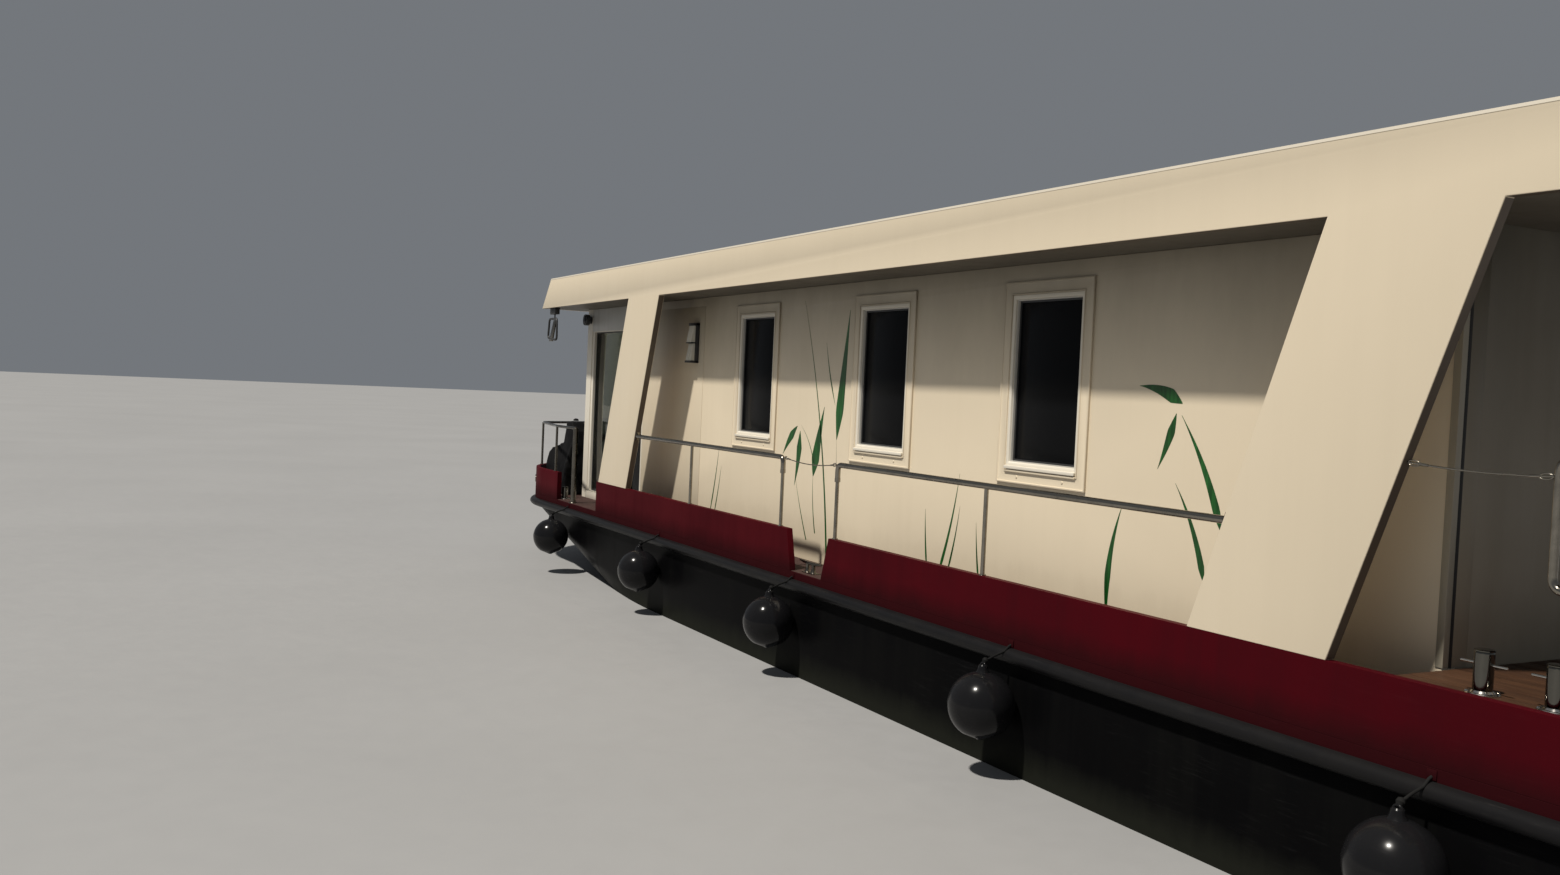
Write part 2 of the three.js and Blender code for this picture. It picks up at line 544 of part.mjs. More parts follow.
// Aft wall with the doorway to the terrace.
function buildAftWall() {
  const inside = CABIN_AFT_X + WALL_THICK;
  const wall = box(CABIN_AFT_X, inside, -WALL_IN + GAP, WALL_IN - GAP, DECK_TOP + GAP, SOFFIT - GAP);
  const doorway = box(CABIN_AFT_X - OVERCUT, inside + OVERCUT, DOORWAY.starboard, DOORWAY.port,
    DOORWAY.low, DOORWAY.high);
  const { x, y } = DOOR_AXIS;
  const { pin, pinProud, height } = DOOR_HINGE;
  const { near, far, thick, low, high, seat, seatFar } = DOOR_HINGE_PLATE;
  const hinges = DOOR_HINGE.z.map((z) => join(
    rodZ(x, y, z - seat, z + height + pinProud, pin),
    box(inside - SINK, x + pin, y - pin, DOORWAY.port + seatFar, z - seat, z),
    box(inside - SINK, inside + thick, DOORWAY.port + near, DOORWAY.port + far, z + low, z + high)));
  return join(cut(wall, doorway), hinges);
}

function buildAftDoor() {
  const { setback, inside, frame, recess } = DOOR_LEAF;
  const leafAft = CABIN_AFT_X + setback;
  const leafFront = CABIN_AFT_X + WALL_THICK - inside;
  const low = DOORWAY.low + DOOR_GAP.ends;
  const high = DOORWAY.high - DOOR_GAP.ends;
  const starboard = DOORWAY.starboard + DOOR_GAP.free;
  const port = DOORWAY.port - DOOR_GAP.hinged;
  const leaf = box(leafAft, leafFront, starboard, port, low, high);
  const light = (xLow, xHigh) => box(xLow, xHigh,
    starboard + frame, port - frame, low + frame, high - frame);
  const { x, y } = DOOR_AXIS;
  const { pin, height, wall, wing } = DOOR_HINGE;
  const knuckles = DOOR_HINGE.z.map((z) => cut(
    join(
      rodZ(x, y, z + GAP, z + height, pin + wall),
      box(leafFront - SINK, x, y - wing, y, z + GAP, z + height)),
    rodZ(x, y, z - OVERCUT, z + height + OVERCUT, boreRadius(pin, 8))));
  const gripX = leafAft - DOOR_HANDLE.reach;
  const handle = join(
    rodY(gripX, DOOR_HANDLE.starboard, DOOR_HANDLE.port, DOOR_HANDLE.z, DOOR_HANDLE.radius),
    rodX(gripX, leafAft + DOOR_HANDLE.sunk, DOOR_HANDLE.post, DOOR_HANDLE.z, DOOR_HANDLE.radius));
  const glazed = cut(leaf,
    light(leafAft - OVERCUT, leafAft + recess), light(leafFront - recess, leafFront + OVERCUT));
  return join(glazed, knuckles, handle);
}

// Glazed front: posts, header and sill in one frame, fixed glass to port and a sliding door to starboard.
function buildFrontFrame() {
  const front = CABIN_FRONT_X;
  const back = CABIN_FRONT_X - WALL_THICK;
  const panel = box(back, front, -WALL_OUT, WALL_OUT, DECK_TOP + GAP, SOFFIT - GAP);
  const portLight = box(back - OVERCUT, front + OVERCUT, FRONT.middle, FRONT.postInner,
    FRONT.sill, FRONT.header);
  const post = box(POST_AFT_X, back + SINK, WALL_IN, WALL_OUT, DECK_TOP + GAP, SOFFIT - GAP);
  const { x, width, halfLong, low, high, bed } = TRACK;
  const track = box(x - width / 2, x + width / 2, -halfLong, halfLong, low, high);
  const bridge = box(x - bed, back + SINK, -halfLong, halfLong, low, high - bed);
  return join(cut(panel, portLight, mirrored(portLight)), post, mirrored(post), track, bridge);
}

function buildFrontGlazing() {
  const { middle, postInner, sill, header, setback, edge, recess } = FRONT;
  const aft = CABIN_FRONT_X - WALL_THICK + setback;
  const front = CABIN_FRONT_X - setback;
  const frame = box(aft, front, middle + GAP, postInner - GAP, sill + GAP, header - GAP);
  const light = (xLow, xHigh) =>
    box(xLow, xHigh, middle + edge, postInner - edge, sill + edge, header - edge);
  return cut(frame, light(aft - OVERCUT, aft + recess), light(front - recess, front + OVERCUT));
}

function buildSlidingDoor() {
  const { aft, front, port, starboard, low, high } = SLIDE_DOOR;
  const { frame, recess, shoe, shoeHalf, shoeReach } = SLIDE_LEAF;
  const leaf = box(aft, front, starboard, port, low, high);
  const light = (xLow, xHigh) =>
    box(xLow, xHigh, starboard + frame, port - frame, low + frame, high - frame);
  const shoes = [starboard + shoe, port - shoe].map((y) =>
    box(TRACK.x - shoeReach, TRACK.x + shoeReach, y - shoeHalf, y + shoeHalf,
      TRACK.high + GAP, low + SINK));
  const grip = box(front - SINK, front + SLIDE_GRIP.proud, port - SLIDE_GRIP.far, port - SLIDE_GRIP.near,
    SLIDE_GRIP.low, SLIDE_GRIP.high);
  const glazed = cut(leaf, light(aft - OVERCUT, aft + recess), light(front - recess, front + OVERCUT));
  return join(glazed, shoes, grip);
}

// Roof

function frameOutline() {
  const foot = BULWARK_TOP + GAP;
  const lean = (BAND_LOW - foot) * PILLAR_SLOPE;
  const pillar = (aftTop) => [
    [aftTop, BAND_LOW], [aftTop + lean, foot],
    [aftTop + lean + PILLAR_WIDTH, foot], [aftTop + PILLAR_WIDTH, BAND_LOW],
  ];
  return [
    [ROOF_AFT_LOW_X, BAND_LOW], ...pillar(REAR_PILLAR_X), ...pillar(FRONT_PILLAR_X),
    [ROOF_FRONT_LOW_X, BAND_LOW],
    [ROOF_FRONT_LOW_X - ROOF_END_LEAN, BAND_TOP], [ROOF_AFT_LOW_X - ROOF_END_LEAN, BAND_TOP],
  ];
}

// Straight slanted end of the roof at a given height.
const roofEndX = (lowX, z) => lowX - ROOF_END_LEAN * (z - BAND_LOW) / (BAND_TOP - BAND_LOW);

function buildFascia(lowX, inward) {
  const thick = FASCIA_THICK * inward;
  return sidePrism([
    [lowX, BAND_LOW], [roofEndX(lowX, BAND_TOP), BAND_TOP],
    [roofEndX(lowX, BAND_TOP) + thick, BAND_TOP], [lowX + thick, BAND_LOW],
  ], -HALF_BEAM + FRAME_THICK + GAP, HALF_BEAM - FRAME_THICK - GAP);
}

function buildRoof() {
  const clear = FASCIA_THICK + GAP;
  const aft = (z) => roofEndX(ROOF_AFT_LOW_X, z) + clear;
  const front = (z) => roofEndX(ROOF_FRONT_LOW_X, z) - clear;
  return sidePrism([
    [aft(SOFFIT), SOFFIT], [front(SOFFIT), SOFFIT], [front(ROOF_TOP), ROOF_TOP], [aft(ROOF_TOP), ROOF_TOP],
  ], -HALF_BEAM + FRAME_THICK + GAP, HALF_BEAM - FRAME_THICK - GAP);
}

// Rails

function railPost(x, y, foot, top) {
  return join(rodZ(x, y, foot + GAP, top, POST_RADIUS),
    rodZ(x, y, foot + GAP, foot + POST_FOOT.thick, POST_FOOT.radius));
}

// X of a pillar's slanted edge at a given height.
const pillarEdgeX = (topX, z) => topX + (BAND_LOW - z) * PILLAR_SLOPE;

// Upright slab along a slanted edge that passes x at the height of the rail.
function slantedSlab(x, near, far, reach, halfWidth) {
  const lean = reach * PILLAR_SLOPE;
  return sidePrism([
    [x + near + lean, RAIL_TOP - reach], [x + far + lean, RAIL_TOP - reach],
    [x + far - lean, RAIL_TOP + reach], [x + near - lean, RAIL_TOP + reach],
  ], RAIL_Y - halfWidth, RAIL_Y + halfWidth);
}

// Side handrails: a tube from a flange on a pillar to the last post at the gate.
function buildSideRails() {
  const runs = [
    { name: 'handrail_front', topX: FRONT_PILLAR_X, side: -1,
      post: HANDRAIL_POST_X.front, end: GATE_POST_X.front },
    { name: 'handrail_aft', topX: REAR_PILLAR_X + PILLAR_WIDTH, side: 1,
      post: HANDRAIL_POST_X.aft, end: GATE_POST_X.aft },
  ];
  for (const { name, topX, side, post, end } of runs) {
    const edge = pillarEdgeX(topX, RAIL_TOP);
    const tube = cut(rodX(Math.min(edge, end), Math.max(edge, end), RAIL_Y, RAIL_TOP, RAIL_RADIUS),
      slantedSlab(edge, RAIL_END_CUT.near * side, RAIL_END_CUT.far * side, RAIL_END_CUT.reach,
        RAIL_END_CUT.reach));
    const flange = slantedSlab(edge, GAP * side, RAIL_FLANGE.thick * side, RAIL_FLANGE.reach,
      RAIL_FLANGE.halfWidth);
    const uprights = [post, end].map((x) => railPost(x, RAIL_Y, BULWARK_TOP, RAIL_TOP));
    addBothSides(name, join(tube, flange, ball([end, RAIL_Y, RAIL_TOP], RAIL_RADIUS), uprights), steel);
  }
}

// Bow rail: thick end posts on deck, thin stanchions on the bow bulwark.
function buildBowRail() {
  const port = BOW_RAIL.map(([x, y]) => [x, y, BOW_RAIL_Z]);
  const starboard = port.map(([x, y, z]) => [x, -y, z]).reverse();
  const solids = [bentRod([...port, ...starboard], BOW_RAIL_RADIUS)];
  const [[postX, postY], ...thin] = BOW_RAIL;
  for (const side of [1, -1]) {
    const { radius, foot, thick, proud } = BOW_END_POST;
    solids.push(rodZ(postX, side * postY, DECK_TOP + GAP, BOW_RAIL_Z + proud, radius));
    solids.push(rodZ(postX, side * postY, DECK_TOP + GAP, DECK_TOP + thick, foot, ROUND));
    solids.push(...thin.map(([x, y]) => railPost(x, side * y, BULWARK_TOP, BOW_RAIL_Z)));
  }
  return join(solids);
}

// Rectangle of tube with rounded corners, drawn by its centre line, as a flat frame in X and Y.
function tubeFrame(width, height, corner, tube) {
  const flat = tube * Math.tan(Math.PI / 8);
  const loop = (Kind, grow) => {
    const [w, h, r] = [width / 2 + grow, height / 2 + grow, corner + grow];
    const path = new Kind();
    path.absarc(w - r, h - r, r, 0, Math.PI / 2);
    path.absarc(r - w, h - r, r, Math.PI / 2, Math.PI);
    path.absarc(r - w, r - h, r, Math.PI, 1.5 * Math.PI);
    path.absarc(w - r, r - h, r, 1.5 * Math.PI, 2 * Math.PI);
    path.closePath();
    return path;
  };
  const shape = loop(THREE.Shape, flat);
  shape.holes.push(loop(THREE.Path, -flat));
  return new THREE.ExtrudeGeometry(shape, {
    depth: 2 * flat, curveSegments: 3, bevelEnabled: true, bevelSegments: 1,
    bevelThickness: tube - flat, bevelSize: tube - flat,
  }).translate(0, 0, -flat);
}

// Stern rail: a frame of tube with rounded corners on each side and across the stern.
function buildSternRail() {
  const { top, low, y, frontX, aftX, tube, corner, aftInset } = STERN_RAIL;
  const { sideFront, sideAft, across: places, foot, thick } = STERN_RAIL_POST;
  const post = (x, place) => join(
    rodZ(x, place, TERRACE_TOP + GAP, low, tube),
    rodZ(x, place, TERRACE_TOP + GAP, TERRACE_TOP + thick, foot, 12));
  const middleZ = (top + low) / 2;
  const side = asSolid(tubeFrame(frontX - aftX, top - low, corner, tube).rotateX(Math.PI / 2)
    .translate((frontX + aftX) / 2, y, middleZ));
  const across = asSolid(tubeFrame(2 * (y - aftInset), top - low, corner, tube).rotateX(Math.PI / 2)
    .rotateZ(Math.PI / 2).translate(aftX, 0, middleZ));
  const sidePosts = join(post(sideFront, y), post(sideAft, y));
  const aftPosts = places.map((place) => post(aftX, place));
  return join(side, mirrored(side), across, sidePosts, mirrored(sidePosts), aftPosts);
}

// Gate wires hang between an eye on one side and a hook on the other.
function buildWire(from, to, sag) {
  const start = new THREE.Vector3(...from);
  const end = new THREE.Vector3(...to);
  const middle = start.clone().add(end).multiplyScalar(0.5);
  middle.z -= 2 * sag;
  const curve = new THREE.QuadraticBezierCurve3(start, middle, end);
  const round = new THREE.Shape().absarc(0, 0, WIRE_RADIUS, 0, 2 * Math.PI);
  const geometry = new THREE.ExtrudeGeometry(round, { extrudePath: curve, steps: 16, curveSegments: 4 });
  return asSolid(geometry);
}

// Fittings

function buildSternBollards() {
  const plateLow = TERRACE_TOP - PLANK_THICK + GAP;
  const plate = box(STERN_POSTS_X[1] - POST_PLATE.overhang, STERN_POSTS_X[0] + POST_PLATE.overhang,
    STERN_POST_Y - POST_PLATE.halfWidth, STERN_POST_Y + POST_PLATE.halfWidth,
    plateLow, plateLow + POST_PLATE.thick);
  const posts = STERN_POSTS_X.map((x) => join(
    rodZ(x, STERN_POST_Y, plateLow, TERRACE_TOP + STERN_POST.height, STERN_POST.radius, 14),
    rodZ(x, STERN_POST_Y, TERRACE_TOP + GAP, TERRACE_TOP + BOLLARD_FLANGE, STERN_POST.flange, 14),
    rodX(x - STERN_POST.pinHalf, x + STERN_POST.pinHalf, STERN_POST_Y, TERRACE_TOP + STERN_POST.pinHeight,
      BOLLARD_PIN_RADIUS, 10)));
  return join(plate, posts);
}

// Room for the bollards in the planks.
function bollardRoom() {
  const plateLow = TERRACE_TOP - PLANK_THICK;
  const reach = POST_PLATE.overhang + GAP;
  const half = POST_PLATE.halfWidth + GAP;
  const slot = box(STERN_POSTS_X[1] - reach, STERN_POSTS_X[0] + reach,
    STERN_POST_Y - half, STERN_POST_Y + half, plateLow - OVERCUT, plateLow + POST_PLATE.thick + 2 * GAP);
  const holes = STERN_POSTS_X.map((x) =>
    rodZ(x, STERN_POST_Y, plateLow - OVERCUT, TERRACE_TOP + OVERCUT, STERN_POST.radius + 2 * GAP, 14));
  return join(slot, holes);
}

function buildBowBollard() {
  const { x, y, height, radius, flange, pinHeight, pinHalf } = BOW_BOLLARD;
  const foot = DECK_TOP + GAP;
  return join(
    rodZ(x, y, foot, DECK_TOP + height, radius, 14),
    rodZ(x, y, foot, DECK_TOP + BOLLARD_FLANGE, flange, 14),
    rodX(x - pinHalf, x + pinHalf, y, DECK_TOP + pinHeight, BOLLARD_PIN_RADIUS, 10));
}

function buildCleat() {
  const { x, y, halfLong, halfWide, thick, leg, legRadius } = CLEAT;
  const { half, height, radius, legDrop } = CLEAT_HORN;
  return join(
    box(x - halfLong, x + halfLong, y - halfWide, y + halfWide, DECK_TOP + GAP, DECK_TOP + thick),
    [-leg, leg].map((shift) =>
      rodZ(x + shift, y, DECK_TOP + thick / 2, DECK_TOP + height - legDrop, legRadius)),
    rodX(x - half, x + half, y, DECK_TOP + height, radius));
}

function buildWallLamp() {
  const { x, low, high, plateHalf, plate } = WALL_LAMP;
  const { half, reach: coverReach, gap } = WALL_LAMP_COVER;
  const { thick, reach, start } = WALL_LAMP_RIM;
  const middle = (low + high) / 2;
  const cover = (zLow, zHigh) =>
    box(x - half, x + half, WALL_OUT + plate / 2, WALL_OUT + coverReach, zLow + gap, zHigh - gap);
  const rims = [low, middle - thick / 2, high - thick].map((z) =>
    box(x - plateHalf, x + plateHalf, WALL_OUT + start, WALL_OUT + reach, z, z + thick));
  return join(
    box(x - plateHalf, x + plateHalf, WALL_OUT + GAP, WALL_OUT + plate, low, high),
    cover(low, middle), cover(middle, high), rims);
}

// Round lamp on the outer face of the front corner post.
function buildDeckLamp() {
  const { x, z, radius, plate, plateThick, arm, armLap, bodyStart, reach } = DECK_LAMP;
  const face = WALL_OUT + GAP;
  return join(
    rodY(x, face, face + plateThick, z, plate, ROUND),
    rodY(x, face + armLap, face + bodyStart + armLap, z, arm, 12),
    rodY(x, face + bodyStart, face + reach, z, radius, ROUND));
}

// Inside steering position behind the front glass.
function buildHelmConsole() {
  const floor = DECK_TOP + FLOOR_THICK + GAP;
  const { x, y, halfWidth, wheelX, wheelZ } = HELM;
  const { radius, boss, bossStart, bossSunk, bore: boreDepth } = HELM_SHAFT;
  const desk = HELM_DESK.map(([along, over]) => [x + along, wheelZ + over]);
  const body = sidePrism([[x, floor], [x + HELM_DESK[0][0], floor], ...desk], y - halfWidth, y + halfWidth);
  const bearing = rodX(wheelX + bossStart, x + bossSunk, y, wheelZ, boss, ROUND);
  const bore = rodX(wheelX, x + boreDepth, y, wheelZ, boreRadius(radius, ROUND), ROUND);
  return cut(join(body, bearing), bore);
}

function buildHelmWheel() {
  const { y, wheelX, wheelZ } = HELM;
  const { radius, tube, spoke, hub, hubHalf, spindle } = HELM_RIM;
  const rim = asSolid(new THREE.TorusGeometry(radius, tube, 6, 24));
  const spokes = [0, 1, 2].map((i) => {
    const angle = Math.PI / 2 + (i / 3) * 2 * Math.PI;
    return rod([0, 0, 0], [radius * Math.cos(angle), radius * Math.sin(angle), 0], spoke, 6);
  });
  const centre = rodZ(0, 0, -hubHalf, hubHalf, hub, ROUND);
  const axle = rodZ(0, 0, -spindle, 0, HELM_SHAFT.radius, ROUND);
  return join(rim, spokes, centre, axle).rotate([0, -90, 0]).translate([wheelX, y, wheelZ]);
}

// Black cloth cover over the anchor winch at the port bow.
function buildCoveredWinch() {
  const { x, y, halfWidth } = WINCH;
  const outline = WINCH_COVER.map(([along, up]) => [x + along, DECK_TOP + GAP + up]);
  return sidePrism(outline, y - halfWidth, y + halfWidth);
}

// Assembly

addPiece('hull', buildHull(), blackPaint);
addPiece('main_deck', cut(
  planPrism(deckOutline(), HULL_TOP + GAP, DECK_TOP),
  box(WELL.aft, WELL.front, -WELL.halfWidth, WELL.halfWidth, 0, BAND_TOP)), burgundy);
addBothSides('rub_rail', buildRubRail(), rubber);
addPiece('rudder', buildRudder(), blackPaint);
addPiece('propeller', buildPropeller(), bronze);
addPiece('engine', box(ENGINE.aft, ENGINE.front, -ENGINE.halfWidth, ENGINE.halfWidth,
  WELL.floor + GAP, ENGINE.top), castIron);
addPiece('stern_platform', buildSternPlatform(), burgundy);
addPiece('terrace_deck', buildTerraceDeck(), teak);
addPiece('engine_hatch', buildHatch(), teak);
buildBulwarks();

addPiece('cabin_floor', box(CABIN_AFT_X + WALL_THICK + GAP, CABIN_FRONT_X - WALL_THICK - GAP,
  -WALL_IN + GAP, WALL_IN - GAP, DECK_TOP + GAP, DECK_TOP + FLOOR_THICK - GAP), laminate);
addBothSides('side_wall', buildSideWall(), cream);
addPiece('aft_wall', buildAftWall(), cream);
addPiece('front_frame', buildFrontFrame(), white);
WINDOW_X.forEach((x, i) => addBothSides(`window_${i + 1}`, buildWindow(x), white));
addBothSides('side_glazing', buildSideGlazing(), tintedGlass);
addPiece('front_glazing', buildFrontGlazing(), tintedGlass);
addPiece('sliding_door', buildSlidingDoor(), darkGlass);
addPiece('aft_door', buildAftDoor(), darkGlass);

addPiece('roof', buildRoof(), cream);
addBothSides('side_frame', sidePrism(frameOutline(), HALF_BEAM - FRAME_THICK, HALF_BEAM), cream);
addPiece('front_fascia', buildFascia(ROOF_FRONT_LOW_X, -1), cream);
addPiece('aft_fascia', buildFascia(ROOF_AFT_LOW_X, 1), cream);

buildSideRails();
addPiece('bow_rail', buildBowRail(), steel);
addPiece('stern_rail', buildSternRail(), steel);
const wireGap = RAIL_RADIUS + GAP;
addBothSides('side_gate_wire', buildWire([GATE_POST_X.front - wireGap, RAIL_Y, RAIL_TOP],
  [GATE_POST_X.aft + wireGap, RAIL_Y, RAIL_TOP], SIDE_WIRE_SAG), steel);
const eyeZ = STERN_RAIL.top - STERN_WIRE.eye;
addBothSides('stern_gate_wire', buildWire(
  [pillarEdgeX(REAR_PILLAR_X, eyeZ) - STERN_WIRE_EYE.off, HALF_BEAM - STERN_WIRE_EYE.inset, eyeZ],
  [STERN_RAIL.frontX + STERN_RAIL.tube + STERN_WIRE_EYE.slack, STERN_RAIL.y,
    STERN_RAIL.top - STERN_WIRE.end],
  STERN_WIRE.sag), steel);

addBothSides('stern_bollards', buildSternBollards(), steel);
addBothSides('bow_bollard', buildBowBollard(), steel);
addBothSides('side_cleat', buildCleat(), steel);
addBothSides('wall_lamp', buildWallLamp(), milkGlass);
addBothSides('deck_lamp', buildDeckLamp(), charcoal);
addPiece('helm_console', buildHelmConsole(), white);
addPiece('helm_wheel', buildHelmWheel(), charcoal);
addPiece('covered_winch', buildCoveredWinch(), blackCloth);

export default houseboat;
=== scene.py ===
"""Looks of the houseboat: its pieces and finishes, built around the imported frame.

Metres. +X points to the bow, +Y to port and +Z up, with the origin in the middle of the flat bottom.
"""

import math

import bmesh
import bpy
from bpy.props import FloatProperty, FloatVectorProperty, IntProperty, PointerProperty
from mathutils import Matrix, Vector


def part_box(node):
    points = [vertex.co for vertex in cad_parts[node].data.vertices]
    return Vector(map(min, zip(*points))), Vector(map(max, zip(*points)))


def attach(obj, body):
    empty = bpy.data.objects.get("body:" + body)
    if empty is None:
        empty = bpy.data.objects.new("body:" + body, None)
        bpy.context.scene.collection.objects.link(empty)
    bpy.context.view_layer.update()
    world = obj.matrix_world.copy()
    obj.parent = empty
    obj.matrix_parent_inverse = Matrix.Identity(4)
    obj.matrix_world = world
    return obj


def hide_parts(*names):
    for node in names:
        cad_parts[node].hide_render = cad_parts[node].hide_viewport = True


bl_info = {
    "name": "Houseboat",
    "version": (1, 0, 0),
    "blender": (4, 5, 0),
    "location": "View3D > Sidebar > Houseboat",
    "description": "Builds the pieces, finishes and stage of a houseboat around its frame",
    "category": "Object",
}

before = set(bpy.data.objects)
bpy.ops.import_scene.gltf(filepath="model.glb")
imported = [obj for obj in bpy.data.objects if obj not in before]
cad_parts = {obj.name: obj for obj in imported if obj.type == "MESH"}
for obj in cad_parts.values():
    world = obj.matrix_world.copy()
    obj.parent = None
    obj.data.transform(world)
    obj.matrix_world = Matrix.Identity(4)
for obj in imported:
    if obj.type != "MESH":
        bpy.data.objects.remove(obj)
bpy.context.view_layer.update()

SIDES = (("port", 1), ("starboard", -1))
SMOOTH_ANGLE = math.radians(25)
AHEAD, OUTBOARD, UP = (1, 0, 0), (0, 1, 0), (0, 0, 1)

# Places read from the frame
DECK_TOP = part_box("main_deck")[1].z
HULL_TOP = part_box("hull")[1].z
BULWARK_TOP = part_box("bow_bulwark")[1].z
HALF_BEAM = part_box("bulwark_front_port")[1].y
WALL_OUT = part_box("side_wall_port")[1].y
CABIN_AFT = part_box("aft_wall")[0].x
CABIN_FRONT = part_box("front_frame")[1].x
BOW_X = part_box("main_deck")[1].x
STERN_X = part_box("main_deck")[0].x
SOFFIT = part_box("roof")[0].z
ROOF_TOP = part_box("roof")[1].z

# Sizes that the frame was drawn with and that its boxes don't give
TERRACE_TOP = DECK_TOP + 0.306
BAND_LOW = 3.584
RAIL_Y = HALF_BEAM - 0.028
RAIL_TOP = 2.197
BOW_RADIUS = 1.47
PILLAR_SLOPE = 0.355
PILLAR_WIDTH = 0.81
FRONT_PILLAR_X = 2.472
REAR_PILLAR_X = -5.999
WINDOW_X = (1.186, -0.920, -2.799)
SHAFT_Z = 0.268
RUDDER_X = -7.08

# Outlines of the hull from the flat bottom up
HULL_LINES = (
    dict(z=0.0, beam=2.08, start=1.7, tip=5.6, nose=0.1),
    dict(z=0.12, beam=2.2, start=1.8, tip=5.85, nose=0.11),
    dict(z=0.55, beam=2.2, start=2.3, tip=6.5, nose=0.15),
    dict(z=0.64, beam=2.2, start=2.8, tip=6.61, nose=0.21),
    dict(z=0.92, beam=2.2, start=4.4, tip=6.93, nose=0.42),
    dict(z=HULL_TOP, beam=2.2, start=5.965, tip=7.435, nose=0.73),
)


# Settings

def length(name, description, default):
    return FloatProperty(name=name, description=description, default=default, subtype="DISTANCE", unit="LENGTH")


def colour(name, description, default):
    return FloatVectorProperty(name=name, description=description, default=default, subtype="COLOR",
                               size=3, min=0.0, max=1.0)


class HullSettings(bpy.types.PropertyGroup):
    """Sizes of the hull, its decks and its fenders"""
    waterline: length("Waterline", "Height of the water above the flat bottom", 0.55)
    bow_steps: IntProperty(name="Bow steps", description="Faces along each side of the bow", default=28, min=8)
    rail_proud: length("Rub rail", "How far the rub rail stands out", 0.06)
    fender_radius: length("Fender radius", "Radius of a fender ball", 0.195)
    plank_width: length("Plank width", "Width of a terrace plank with its gap", 0.1387)
    plank_gap: length("Plank gap", "Open gap between two terrace planks", 0.005)


class CabinSettings(bpy.types.PropertyGroup):
    """Sizes of the cabin's walls, windows and doors"""
    edge: length("Panel edge", "Rounding of the panels' edges", 0.004)
    casing_lip: length("Casing lip", "Width of the raised edge round a window casing", 0.010)
    casing_field: length("Casing field", "Width of the flat field of a window casing", 0.062)
    pane: length("Pane", "Thickness of a glass pane", 0.008)
    door_frame: length("Door frame", "Width of a glazed door's frame", 0.105)
    strip: length("Edge strip", "Thickness of the strip on the side frames' edges", 0.0015)


class FittingSettings(bpy.types.PropertyGroup):
    """Sizes of the rails and deck fittings"""
    rail_radius: length("Handrail radius", "Radius of the side handrails' tube", 0.02)
    post_radius: length("Post radius", "Radius of a rail post", 0.014)
    bow_rail_radius: length("Bow rail radius", "Radius of the bow rail's tube", 0.016)
    stern_rail_radius: length("Stern rail radius", "Radius of the stern rail's tube", 0.017)
    wire_radius: length("Wire radius", "Radius of a gate wire", 0.004)
    bollard_radius: length("Bollard radius", "Radius of a stern bollard's post", 0.038)


class PaintSettings(bpy.types.PropertyGroup):
    """Colours of the finishes"""
    cream: colour("Cream", "Cabin and roof panels", (0.70, 0.605, 0.455))
    burgundy: colour("Burgundy", "Bulwarks and deck edge", (0.058, 0.0026, 0.0056))
    hull: colour("Hull", "Hull paint", (0.0022, 0.0022, 0.0026))
    rubber: colour("Rubber", "Rub rail", (0.008, 0.008, 0.009))
    planks: colour("Planks", "Terrace planks", (0.074, 0.036, 0.018))
    # Brown edge colour, darkened partly as painted shade on the side frames' edges.
    trim: colour("Brown trim", "Edge strips of the side frames", (0.100, 0.073, 0.050))
    # Dark as painted shade on the roof's underside.
    soffit: colour("Soffit", "Underside of the roof", (0.12, 0.106, 0.084))
    plastic: colour("White plastic", "Window and door frames", (0.73, 0.68, 0.58))
    reeds: colour("Reeds", "Reed leaves on the cabin's sides", (0.004, 0.052, 0.006))
    # Darker than bare stainless, as painted shade in the steel's reflections.
    steel: colour("Stainless steel", "Rails and fittings", (0.285, 0.262, 0.222))


class StageSettings(bpy.types.PropertyGroup):
    """The camera, the light and the floor"""
    camera_place: FloatVectorProperty(name="Camera", description="Place of the camera", size=3,
                                      default=(-9.115, 6.925, 2.720), subtype="TRANSLATION", unit="LENGTH")
    lens: FloatProperty(name="Lens", description="Focal length on a 36 mm sensor, in millimetres",
                        default=29.77, min=5.0)
    yaw: FloatProperty(name="Yaw", description="Turn of the view to starboard", default=0.48535,
                       subtype="ANGLE", unit="ROTATION")
    pitch: FloatProperty(name="Pitch", description="Dip of the view", default=0.03656,
                         subtype="ANGLE", unit="ROTATION")
    roll: FloatProperty(name="Roll", description="Roll of the camera", default=0.04430,
                        subtype="ANGLE", unit="ROTATION")
    sun: FloatProperty(name="Key light", description="Strength of the key light", default=4.5, min=0.0)
    sky: FloatProperty(name="Fill light", description="Strength of the even fill light", default=0.20, min=0.0)


SETTINGS = (("hull", HullSettings), ("cabin", CabinSettings), ("fittings", FittingSettings),
            ("paint", PaintSettings), ("stage", StageSettings))


def settings(name):
    return getattr(bpy.context.scene, "houseboat_" + name)


# Modelling tools

def only(*objects):
    """Selects just these objects, in object mode, and makes the last one active."""
    if bpy.context.mode != "OBJECT":
        bpy.ops.object.mode_set(mode="OBJECT")
    bpy.ops.object.select_all(action="DESELECT")
    for item in objects:
        item.select_set(True)
        bpy.context.view_layer.objects.active = item


def named(name):
    """Names the new primitive and puts its place into its mesh."""
    made = bpy.context.object
    made.name = made.data.name = name
    bpy.ops.object.transform_apply(location=True, rotation=True, scale=True)
    return made


def linked(name, data):
    """A new object with this mesh or curve."""
    data.name = name
    made = bpy.data.objects.new(name, data)
    bpy.context.collection.objects.link(made)
    return made


def drop(*items):
    """Removes patterns and tools that are no longer needed."""
    for item in items:
        bpy.data.objects.remove(item)


